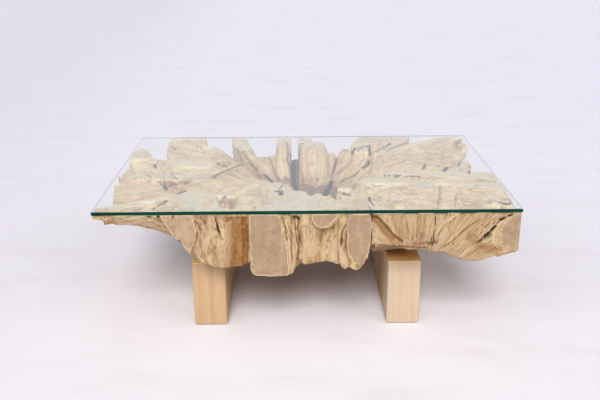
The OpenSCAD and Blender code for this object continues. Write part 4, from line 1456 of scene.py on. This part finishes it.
@dataclass
class RootSection:
    """One root section: its limbs grown over the CAD solid, its cuts kept flat.

    The plot is its outline in plan, and the focus is where its fibres run out from. The relief
    and the ridge are how far its skin swells, and the hem is its lower edge in front. Left
    of arm_from the wood is a calm arm. A crisp section keeps a clean underside. The fill is a
    box that is closed with wood. All are in mm, apart from the voxel, which is in metres.
    """

    node: str
    plot: list[Point]
    tone: Tone
    focus: Point3
    seed: int
    voxel: float = 0.0035
    relief: float = 3.0
    ridge: float = 2.4
    strokes: list[Stroke] = field(default_factory=list)
    hem: list[Point] = field(default_factory=list)
    arm_from: float = -2000.0
    crisp: bool = False
    fill: tuple[Point3, Point3] | None = None
    top_z: float = 408.0
    low_z: float = 210.0
    saw: Point = (597.0, 397.0)
    outer: Point = (596.85, 396.85)
    half_glue: float = 0.15

    def build(self, material: bpy.types.Material) -> bpy.types.Object:
        """Builds and dresses the section.

        Args:
            material: its finish.

        Returns:
            The finished piece.
        """
        piece = merged_copy(self.node, self.node + "_wood")
        if self.fill:
            self._close_valley(piece.data)
        self._remesh(piece)
        mesh = piece.data
        self._shape(Skin(mesh))
        mesh.materials.clear()
        mesh.materials.append(material)
        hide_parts(self.node)
        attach(piece, BODY)
        return piece

    def _close_valley(self, mesh: bpy.types.Mesh) -> None:
        """Adds a block of wood that closes a valley between two limbs of the CAD solid.

        Args:
            mesh: the section's mesh.
        """
        low, high = (Vector(corner) / METRE for corner in self.fill)
        place = Matrix.Translation((low + high) / 2.0) @ Matrix.Diagonal((*(high - low), 1.0))
        with edited(mesh) as bm:
            bmesh.ops.create_cube(bm, size=1.0, matrix=place)

    def _remesh(self, piece: bpy.types.Object) -> None:
        """Gives a piece one even skin.

        Args:
            piece: the piece.
        """
        remesh = piece.modifiers.new("even_skin", "REMESH")
        remesh.mode = "VOXEL"
        remesh.voxel_size = self.voxel
        remesh.adaptivity = 0.0
        graph = bpy.context.evaluated_depsgraph_get()
        made = bpy.data.meshes.new_from_object(piece.evaluated_get(graph))
        old = piece.data
        piece.modifiers.clear()
        piece.data = made
        bpy.data.meshes.remove(old)
        made.name = piece.name

    def _cut_planes(self, p: np.ndarray) -> list[tuple[np.ndarray, np.ndarray, Cut]]:
        """Measures every vertex against the flat cuts.

        Args:
            p: the vertices in mm.

        Returns:
            For each cut, the signed distance of each vertex, the cut's normal, and its kind.
        """
        cuts = [(p[:, 2] - self.top_z, np.array([0.0, 0.0, 1.0]), Cut.LEVEL),
                (self.low_z - p[:, 2], np.array([0.0, 0.0, -1.0]), Cut.LEVEL)]
        sides = list(zip(self.plot, self.plot[1:] + self.plot[:1]))
        area = sum(a[0] * b[1] - b[0] * a[1] for a, b in sides)
        for side in sides:
            a, b = (np.array(corner) for corner in side)
            length = np.linalg.norm(b - a)
            way = (b - a) / length
            normal = np.array([way[1], -way[0]]) * (1.0 if area > 0 else -1.0)
            along = (p[:, :2] - a) @ way
            away = (p[:, :2] - a) @ normal + self.half_glue
            past_end = np.maximum(0.0, np.maximum(-along, along - length))
            away = np.where(past_end > 1.0, -FAR, away)
            outer = any(abs(normal[axis]) > 0.999 and abs(abs(a[axis]) - self.saw[axis]) < 0.5
                        for axis in (0, 1))
            cuts.append((away, np.array([*normal, 0.0]), Cut.SAWN if outer else Cut.SEAM))
        return cuts

    def _shape(self, skin: Skin) -> None:
        """Smooths the natural skin, raises its ridges, carves its cracks, flattens its cuts.

        Args:
            skin: the section's skin.
        """
        p = skin.p
        snap = self.voxel * METRE * SNAP_SHARE
        nearest = np.full(len(p), FAR)
        kind = np.full(len(p), Cut.NONE.value)
        for away, normal, sort in self._cut_planes(p):
            close = np.abs(away) < snap
            p[close] -= away[close, None] * normal[None, :]
            better = np.abs(away) < np.abs(nearest)
            kind = np.where(better & close, sort.value, kind)
            nearest = np.where(better, np.abs(away), nearest)
        skin.relax(nearest >= snap)
        p = skin.p
        free = eased(nearest, snap, snap + CUT_MARGIN)
        most_calm, over = ARM_CALM
        calm = 1.0 - most_calm * eased(self.arm_from - p[:, 0], 0.0, over)
        skin.p = p + skin.normals() * ((self._lift(p) * calm - self._carved(p)) * free)[:, None]
        for _ in range(2 if self.crisp else 1):
            self._draw_hem(skin.p)
        self._front(skin, kind)
        self._sculpt_top(skin.p)
        skin.p[:, :2] = np.clip(skin.p[:, :2], -np.array(self.outer), self.outer)
        self._store(skin, kind)
        smoothed(skin.mesh, SHARP_WOOD)

    def _lift(self, p: np.ndarray) -> np.ndarray:
        """Works out the swellings and the fine ridges that run along the fibres.

        Args:
            p: the vertices in mm.

        Returns:
            How far each is lifted, in mm.
        """
        way = p - np.array(self.focus)
        reach = np.linalg.norm(way, axis=1, keepdims=True)
        unit = way / np.maximum(reach, 1.0)
        turn = reach * np.array([RIDGE_TURN])
        wide, small = SWELLINGS
        coarse, middle, finest = RIDGES
        broad = noise_pair(p / wide, p / small, self.seed)
        ridges = noise_pair(unit * coarse + turn, unit * middle + turn * 2.0, self.seed + 2)
        fine = lattice_noise(unit * finest + turn * 4.0, self.seed + 4)
        sharp = ridges - RIDGE_EDGE * np.abs(ridges)
        return self.relief * broad + self.ridge * sharp + FINEST_RIDGE * fine

    def _cover(self, p: np.ndarray, stroke: Stroke) -> np.ndarray:
        """Works out how strongly a stroke covers each vertex.

        Args:
            p: the vertices in mm.
            stroke: the stroke.

        Returns:
            The strength, from 0 to 1.
        """
        if stroke.face is Face.FRONT:
            below = (p[:, 2] < FRONT_TOP_Z) | (p[:, 1] < FRONT_TOP_Y)
            seen = (p[:, 1] < FRONT_Y) & below
            view = p[:, [0, 2]]
            squash = 1.0
        else:
            seen = p[:, 2] > STROKE_FROM_Z
            share = (EYE[2] - READ_Z) / (EYE[2] - np.minimum(p[:, 2], READ_Z))
            view = np.array(EYE[:2]) + (p[:, :2] - np.array(EYE[:2])) * share[:, None]
            squash = TOP_SQUASH
        points = np.array(stroke.points, dtype=float) * (1.0, squash)
        view = view * (1.0, squash)
        room = stroke.width * 3.0 + 2.0
        near = (view > points.min(axis=0) - room) & (view < points.max(axis=0) + room)
        seen &= near.all(axis=1)
        cover = np.zeros(len(p))
        if not seen.any():
            return cover
        gap = line_distance(view[seen], points.tolist())
        ragged = 1.0 + RAGGED * lattice_noise(p[seen] / (6.0 + stroke.width), self.seed + 11)
        cover[seen] = 1.0 - eased(gap * ragged, stroke.width * 0.2, stroke.width * 1.2 + 0.8)
        return cover

    def _carved(self, p: np.ndarray) -> np.ndarray:
        """Adds up the depth of the front strokes, in mm."""
        deep = [self._cover(p, stroke) * stroke.depth for stroke in self.strokes if stroke.depth]
        return sum(deep, np.zeros(len(p)))

    def _draw_hem(self, p: np.ndarray) -> None:
        """Draws the lower edge of the front to the line seen in the photo.

        Args:
            p: the vertices in mm.
        """
        if not self.hem:
            return
        near = p[:, 1] < HEM_BACK_Y
        slant = (EYE[2] - HEM_Z) / (HEM_Y - EYE[1])
        shown = p[:, 2] + slant * (p[:, 1] - HEM_Y)
        line_x, line_z = np.array(self.hem, dtype=float).T
        places = np.arange(line_x[0] - HEM_STEP, line_x[-1] + 2.0 * HEM_STEP, HEM_STEP)
        lowest = np.interp(places, line_x, line_z)
        for k, x in enumerate(places):
            here = near & (np.abs(p[:, 0] - x) < HEM_FEEL)
            if here.any():
                lowest[k] = shown[here].min()
        lowest = np.convolve(np.pad(lowest, 1, mode="edge"), [0.25, 0.5, 0.25], mode="valid")
        low = np.interp(p[:, 0], places, lowest)
        move = np.interp(p[:, 0], line_x, line_z) - low
        weight = 1.0 - eased(shown, low + HEM_FULL, np.maximum(low + HEM_FADE, HEM_FADE_Z))
        weight *= 1.0 - eased(p[:, 1], HEM_FULL_Y, HEM_BACK_Y)
        p[:, 2] += np.clip(move, -HEM_MOST, HEM_MOST) * weight
        if self.crisp:
            first, last = TUCK_RISE
            tuck = 1.0 - eased(p[:, 2], low + move + first, low + move + last)
            tuck *= 1.0 - eased(p[:, 1], *TUCK_Y)
            behind = np.maximum(p[:, 1] - TUCK_TO_Y, 0.0)
            p[:, 1] -= behind * TUCK_SHARE * tuck * (p[:, 0] > TUCK_FROM_X)

    @staticmethod
    def _arm_end(p: np.ndarray) -> np.ndarray:
        """Finds the outermost vertices of the left arm's root, whose sawn end lies deeper.

        Args:
            p: the vertices in mm.

        Returns:
            Which of them they are.
        """
        x, y, z = p.T
        left, right = ARM_END_X
        near = (x > left) & (x < right) & (y < ARM_END_Y) & (z > ARM_END_Z)
        if not near.any():
            return near
        column, row = np.floor((x - left) / ARM_CELL), np.floor((z - ARM_END_Z) / ARM_CELL)
        cell = column * ARM_ROWS + row
        cell = np.where(near, cell, 0).astype(int)
        outer = np.full(cell.max() + 1, FAR)
        np.minimum.at(outer, cell[near], y[near])
        return near & (y < outer[cell] + ARM_END_DEPTH)

    @staticmethod
    def _inside(p: np.ndarray) -> np.ndarray:
        """Measures how deep vertices lie inside the outlines of the sawn ends.

        Args:
            p: the vertices in mm.

        Returns:
            The depth in mm, below 0 outside.
        """
        view = p[:, [0, 2]] + bend(p, *END_BEND, 401)
        return np.max([depth_inside(view, outline) for outline in SAWN_FRONT], axis=0)

    def _front(self, skin: Skin, kind: np.ndarray) -> None:
        """Parts the front face in sawn ends, on the cut, and natural wood a little behind it.

        Args:
            skin: the section's skin.
            kind: the cut that each vertex lies on; the sawn front is kept only in its
                outlines.
        """
        p = skin.p
        arm = self._arm_end(p)
        if arm.any():
            inside = self._inside(p[arm])
            p[arm, 1] += (-self.saw[1] - p[arm, 1]) * eased(inside, *ARM_END_EASE)
            loose = np.zeros(len(p), dtype=bool)
            loose[np.where(arm)[0][inside > -1.0]] = True
            skin.even(loose & (p[:, 2] < ARM_EVEN_Z), [0, 2], ARM_EVEN_STEPS)
        front = (p[:, 1] < 1.0 - self.saw[1]) | (arm & (p[:, 1] < -FRONT_BEGINS[0]))
        if not front.any():
            return
        inside = self._inside(p[front])
        y = p[front, 1]
        wide, small = (eased(-inside, 0.0, reach) * deep for reach, deep in (WIDE_STEP, SHARP_STEP))
        back = wide + small
        rough = self._lift(p[front]) * 0.5 + self._carved(p[front])
        back += eased(-inside, 0.0, ROUGH_FROM) * np.maximum(rough, MOST_RAISED)
        back *= eased(-y, *FRONT_BEGINS)
        p[front, 1] = y + np.maximum(back, 0.0)
        unsawn = np.where(kind[front] == Cut.SAWN.value, Cut.BEHIND.value, kind[front])
        kind[front] = np.where(inside >= 0.0, Cut.SAWN.value, unsawn)
        if self.crisp:
            wild = kind != Cut.SAWN.value
            skin.even((p[:, 1] < CRISP_Y) & wild & (p[:, 2] < CRISP_Z), [1], CRISP_STEPS)

    def _sculpt_top(self, p: np.ndarray) -> None:
        """Presses the upper part of the section down to the sculpted top.

        Args:
            p: the vertices in mm.
        """
        high = p[:, 2] > TOP_FROM_Z
        if not high.any():
            return
        depth, _ = top_shape(p[high])
        for stroke in TOP_STROKES:
            depth += self._cover(p[high], stroke) * stroke.depth
        least, more = SCULPT_ROOM
        room = least + more * depth
        share = np.clip((p[high, 2] - (self.top_z - room)) / room, 0.0, 1.0)
        p[high, 2] -= depth * share
        p[:, 2] = np.minimum(p[:, 2], self.top_z)

    def _store(self, skin: Skin, kind: np.ndarray) -> None:
        """Stores what the finish reads: cuts, rims, stains, painted highlights, and painted shade
        in the cracks, the hollows, the bowl and the slot.

        Args:
            skin: the section's skin.
            kind: the cut that each vertex lies on.
        """
        p = skin.p
        facing_up = eased(skin.normals()[:, 2], *FACING_UP)
        sawn = np.where(kind == Cut.SAWN.value, 1.0, 0.0)
        top = np.where((kind == Cut.LEVEL.value) & (p[:, 2] > TOP_FROM_Z), 1.0, 0.0)
        _, natural = top_shape(p)
        arm = eased(self.arm_from - p[:, 0], *ARM_TONE)
        low = self.top_z - p[:, 2]
        # Painted shade along the slot and on the upward faces deep in the bowl.
        off_slot = np.abs(p[:, 0] - sum(SLOT) / 2.0)
        slot = eased(SLOT_REACH - off_slot, *SLOT_SIDES) * eased(p[:, 1], *SLOT_BEGINS_Y)
        off_bowl = np.linalg.norm(p[:, :2] - np.array(BOWL_MIDDLE), axis=1)
        bowl = eased(low, *BOWL_DEPTH) * eased(BOWL_REACH - off_bowl, *BOWL_SIDES) * facing_up
        values = {"sawn": sawn, "flat": top * (1.0 - eased(natural, *NATURAL_SHARE)),
                  "rim": skin.rim(sawn) * MM, "upper": np.maximum(top, arm), "above": top,
                  "painted_hollow_shade": np.maximum(bowl, slot * eased(low, *SLOT_DEPTH)),
                  **{tint.value: np.zeros(len(p)) for tint in StainAndPaintedLight}}
        # The strokes store their stains, their painted shade and their painted highlights.
        for stroke in self.strokes + TOP_STROKES:
            name = stroke.tint.value
            cover = self._cover(p, stroke) * stroke.strength * (1.0 - SAWN_HIDES * sawn)
            values[name] = np.maximum(values[name], cover)
        # Painted highlight along the edges of the dips in the flat top.
        edges = np.clip(natural, 0.0, 1.0) * (1.0 - natural) * EDGE_LIGHT
        edges = np.where(top > 0.0, edges, 0.0)
        values["light"] = np.maximum(values["light"], np.clip(edges, 0.0, EDGE_LIGHTEST))
        aged = AGED + AGED_CHANGE * lattice_noise(p / AGED_SIZE, self.seed + 9)
        values["gold"] = np.maximum(values["gold"], np.clip(aged, 0.0, 1.0))
        for name, value in values.items():
            layer = skin.mesh.attributes.new(name, "FLOAT", "POINT")
            layer.data.foreach_set("value", value.astype(np.float32))


@dataclass
class RootBase:
    """The base: the heart and the eleven root sections fitted round it."""

    effects: Effects
    sections: list[RootSection] = field(default_factory=list)

    def __post_init__(self) -> None:
        """Lists the sections with their plots, fibre directions and strokes."""
        h = HEART
        left, right = SLOT
        pale = Tone.PALE
        self.sections += [
            RootSection("front_left_root", [(-163, -397), (-597, -397), (-597, -345), h[0], h[1]],
                        Tone.GOLDEN, (-245, -260, -620), 1, voxel=0.003, strokes=KNEE_STROKES,
                        hem=KNEE_HEM, arm_from=-350.0),
            RootSection("front_centre_root", [(-163, -397), h[1], h[2], h[3], (182, -397)],
                        pale, (0, -250, -620), 11, voxel=0.003, strokes=FOLD_STROKES,
                        hem=FOLD_HEM, fill=((-40.0, -377.0, 366.0), (6.0, -296.0, 408.0))),
            RootSection("front_right_root", [(182, -397), h[3], (597, -225), (597, -397)],
                        pale, (318, -380, 190), 21, voxel=0.003, strokes=FAN_STROKES,
                        hem=FAN_HEM, crisp=True),
            RootSection("right_root", [h[3], (597, -225), (597, 95), (500, 95), (440, 0), h[4]],
                        pale, (20, -40, 220), 31),
            RootSection("back_right_corner_root",
                        [h[4], (440, 0), (500, 95), (597, 260), (597, 397), (430, 397), h[5]],
                        pale, (20, -60, 200), 41, voxel=0.004),
            RootSection("back_right_root", [h[5], (430, 397), (140, 397), h[6]],
                        pale, (20, -60, 180), 51, voxel=0.004),
            RootSection("back_centre_root", [(right, 147), (right, 397), (140, 397), h[6]],
                        pale, (20, -80, 160), 61),
            RootSection("back_centre_fin",
                        [(left, 142.5), (left, 397), (-150, 397), (-85, 130.5)],
                        pale, (-20, -80, 160), 71),
            RootSection("back_left_fin",
                        [(-87, 129.9), (-150, 397), (-300, 397), (-210, 200), h[8]],
                        pale, (0, -60, 180), 81),
            RootSection("back_left_root",
                        [h[8], (-210, 200), (-300, 397), (-597, 397), (-520, 150), h[9]],
                        pale, (0, -60, 200), 91, voxel=0.004),
            RootSection("left_root", [h[0], (-597, -345), (-597, 397), (-520, 150), h[9]],
                        pale, (0, -30, 220), 101, voxel=0.004),
            RootSection("root_heart", [*h[:7], (right, 147), (right, 338), (left, 338),
                                       (left, 142.5), *h[8:]],
                        Tone.HEART, (20, 0, 100), 111)]

    @staticmethod
    def finish_for(section: RootSection) -> RootFinish:
        """Chooses the finish of one section.

        Args:
            section: the section.

        Returns:
            Its finish.
        """
        name = section.node + "_teak"
        # The front sections are painted darker everywhere but on the top: painted shade.
        painted_side_shade = rgb(226, 225, 224) if section.hem else rgb(255, 255, 255)
        if section.tone is Tone.HEART:
            tones = rgb(190, 160, 122), rgb(160, 130, 94), rgb(122, 90, 58)
            extra = {"light": rgb(212, 186, 146)}
        elif section.tone is Tone.GOLDEN:
            tones = rgb(226, 197, 157), rgb(206, 173, 132), rgb(164, 123, 80)
            extra = {"sawn": rgb(206, 175, 144), "painted_side_shade": painted_side_shade}
        else:
            tones = rgb(232, 203, 162), rgb(211, 178, 135), rgb(162, 121, 78)
            extra = {"sawn": rgb(188, 161, 133), "painted_side_shade": painted_side_shade}
        return RootFinish(name, *tones, section.focus, float(section.seed), **extra)

    def build(self) -> None:
        """Builds and reports every section."""
        for section in self.sections:
            piece = section.build(self.finish_for(section).build(self.effects))
            log.info("%s: %d faces", piece.name, len(piece.data.polygons))


@dataclass
class BlockLeg:
    """One leg: four glued upright-grain blocks, from the front to the back."""

    effects: Effects
    side: str
    tones: list[tuple[Colour, Colour]]
    ease: float = 0.0007
    shortest_edge: float = 0.05

    def build(self) -> None:
        """Builds the blocks with broken edges."""
        for i, part in enumerate(("front", "second", "third", "back")):
            node = f"{self.side}_leg_{part}_block"
            piece = merged_copy(node, node + "_wood")
            self._break_edges(piece.data)
            finish = LegFinish(node + "_grain", *self.tones[i], 3.0 * i + len(self.side))
            piece.data.materials.append(finish.build(self.effects))
            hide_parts(node)
            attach(piece, BODY)
            log.info("%s: %d faces", piece.name, len(piece.data.polygons))

    def _break_edges(self, mesh: bpy.types.Mesh) -> None:
        """Joins the flat triangles and rounds the long edges a little.

        Args:
            mesh: the block's mesh.
        """
        with edited(mesh) as bm:
            bmesh.ops.dissolve_limit(bm, angle_limit=math.radians(1.0), verts=bm.verts,
                                     edges=bm.edges)
            sharp = [e for e in bm.edges if len(e.link_faces) == 2
                     and e.calc_face_angle() > math.radians(25.0)
                     and e.calc_length() > self.shortest_edge]
            bmesh.ops.bevel(bm, geom=sharp, offset=self.ease, segments=2, profile=0.5,
                            affect="EDGES", material=-1)
        smoothed(mesh, 30.0)


class GlassSheet:
    """The loose glass top with its dark ground edge."""

    def build(self) -> None:
        """Copies the CAD sheet and gives its flat faces and edges their own finishes."""
        piece = merged_copy("glass_top", "glass_sheet")
        with edited(piece.data) as bm:
            bmesh.ops.dissolve_limit(bm, angle_limit=math.radians(0.5), verts=bm.verts,
                                     edges=bm.edges)
            for face in bm.faces:
                face.material_index = 0 if abs(face.normal.z) > 0.99 else 1
        piece.data.materials.append(PlainFinishes.glass())
        piece.data.materials.append(PlainFinishes.glass_edge())
        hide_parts("glass_top")
        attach(piece, "glass")
        log.info("%s: %d faces", piece.name, len(piece.data.polygons))


def dress(node: str, material: bpy.types.Material) -> None:
    """Gives a carried-over CAD node its finish.

    Args:
        node: the CAD node.
        material: the finish.
    """
    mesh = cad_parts[node].data
    mesh.materials.clear()
    mesh.materials.append(material)
    log.info("%s: dressed with %s", node, material.name)


@dataclass
class Studio:
    """The pale floor, soft lamps and the camera at the photograph's angle."""

    eye: Point3 = (-0.03891, -2.42032, 1.16820)
    yaw: float = 0.0090607
    pitch: float = 0.3407096
    roll: float = -0.0052033
    focal: float = 778.06
    frame_width: float = 600.0
    sensor: float = 36.0
    floor_reach: float = 14.0

    def camera(self) -> None:
        """Makes the camera that was solved from the sheet's four corners."""
        cy, sy = math.cos(self.yaw), math.sin(self.yaw)
        cp, sp = math.cos(self.pitch), math.sin(self.pitch)
        forward = Vector((sy * cp, cy * cp, -sp))
        right = Vector((cy, -sy, 0.0))
        up = right.cross(forward)
        c, s = math.cos(self.roll), math.sin(self.roll)
        right, up = c * right + s * up, c * up - s * right
        data = bpy.data.cameras.new("photo_camera")
        data.sensor_fit = "HORIZONTAL"
        data.sensor_width = self.sensor
        data.lens = self.focal * self.sensor / self.frame_width
        data.clip_start = 0.05
        data.clip_end = 60.0
        camera = linked("photo_camera", data)
        turn = Matrix((right, up, -forward)).transposed().to_4x4()
        camera.matrix_world = Matrix.Translation(Vector(self.eye)) @ turn
        bpy.context.scene.camera = camera

    @staticmethod
    def lamp(name: str, way: Point3, strength: float, spread: float) -> None:
        """Adds one wide soft light that falls evenly over the whole floor.

        Args:
            name: its name.
            way: the direction in which its light falls.
            strength: its power per square metre.
            spread: the angle that it fills, in degrees.
        """
        data = bpy.data.lights.new(name, "SUN")
        data.energy = strength
        data.angle = math.radians(spread)
        lamp = linked(name, data)
        lamp.matrix_world = Vector(way).to_track_quat("-Z", "Y").to_matrix().to_4x4()
        lamp.visible_glossy = False

    def floor(self) -> None:
        """Lays the floor, a square of twice the reach."""
        mesh = bpy.data.meshes.new("studio_floor")
        with edited(mesh) as bm:
            bmesh.ops.create_grid(bm, x_segments=2, y_segments=2, size=self.floor_reach)
        mesh.materials.append(PlainFinishes.floor())
        floor = linked("studio_floor", mesh)

    @staticmethod
    def surroundings() -> None:
        """Makes a world that lights the room faintly and looks pale behind and through glass."""
        world = bpy.data.worlds.new("studio_light")
        bpy.context.scene.world = world
        world.use_nodes = True
        world.node_tree.nodes.clear()
        g = Graph(world.node_tree)
        path = g.add("ShaderNodeLightPath").outputs
        mirrored = g.math("MAXIMUM", path["Is Glossy Ray"], path["Is Transmission Ray"])
        seen = g.math("MAXIMUM", path["Is Camera Ray"], mirrored)
        light = g.feed(g.add("ShaderNodeBackground"),
                       {"Color": (0.96, 0.98, 1.0, 1.0), "Strength": 0.16})
        shown = g.feed(g.add("ShaderNodeBackground"),
                       {"Color": rgb(234, 231, 241), "Strength": 1.0})
        g.surface(g.add("ShaderNodeOutputWorld"), seen, light, shown)

    def build(self) -> None:
        """Builds the whole studio."""
        self.camera()
        self.floor()
        self.lamp("front_softbox", (0.04, 0.755, -0.62), 2.62, 24.0)
        self.lamp("left_softbox", (0.72, 0.60, -0.72), 0.60, 34.0)
        self.lamp("right_softbox", (-0.72, 0.60, -0.72), 0.60, 34.0)
        self.lamp("overhead_softbox", (0.0, 0.20, -1.0), 0.42, 50.0)
        self.surroundings()
        bpy.context.scene.view_settings.view_transform = "Standard"


def main() -> None:
    """Builds the studio, the base, the legs and the glass in order."""
    logging.basicConfig(level=logging.INFO, format="%(name)s %(message)s")
    Studio().build()
    effects = Effects()
    RootBase(effects).build()
    straw = (rgb(200, 167, 129), rgb(178, 141, 100))
    orange = (rgb(196, 154, 106), rgb(166, 122, 76))
    grey = (rgb(206, 184, 152), rgb(180, 154, 120))
    cream = (rgb(208, 185, 158), rgb(191, 162, 130))
    BlockLeg(effects, "left", [straw, orange, grey, straw]).build()
    BlockLeg(effects, "right", [cream, orange, grey, straw]).build()
    GlassSheet().build()
    dress("glass_bumpers", PlainFinishes.bumper())
    felt = PlainFinishes.felt()
    dress("left_foot_pad", felt)
    dress("right_foot_pad", felt)
    beech = LegFinish("turned_peg_wood", rgb(214, 182, 136), rgb(184, 146, 100), 31.0)
    peg_wood = beech.build(effects)
    dress("root_pegs", peg_wood)
    dress("leg_dowels", peg_wood)


if __name__ == "__main__":
    main()
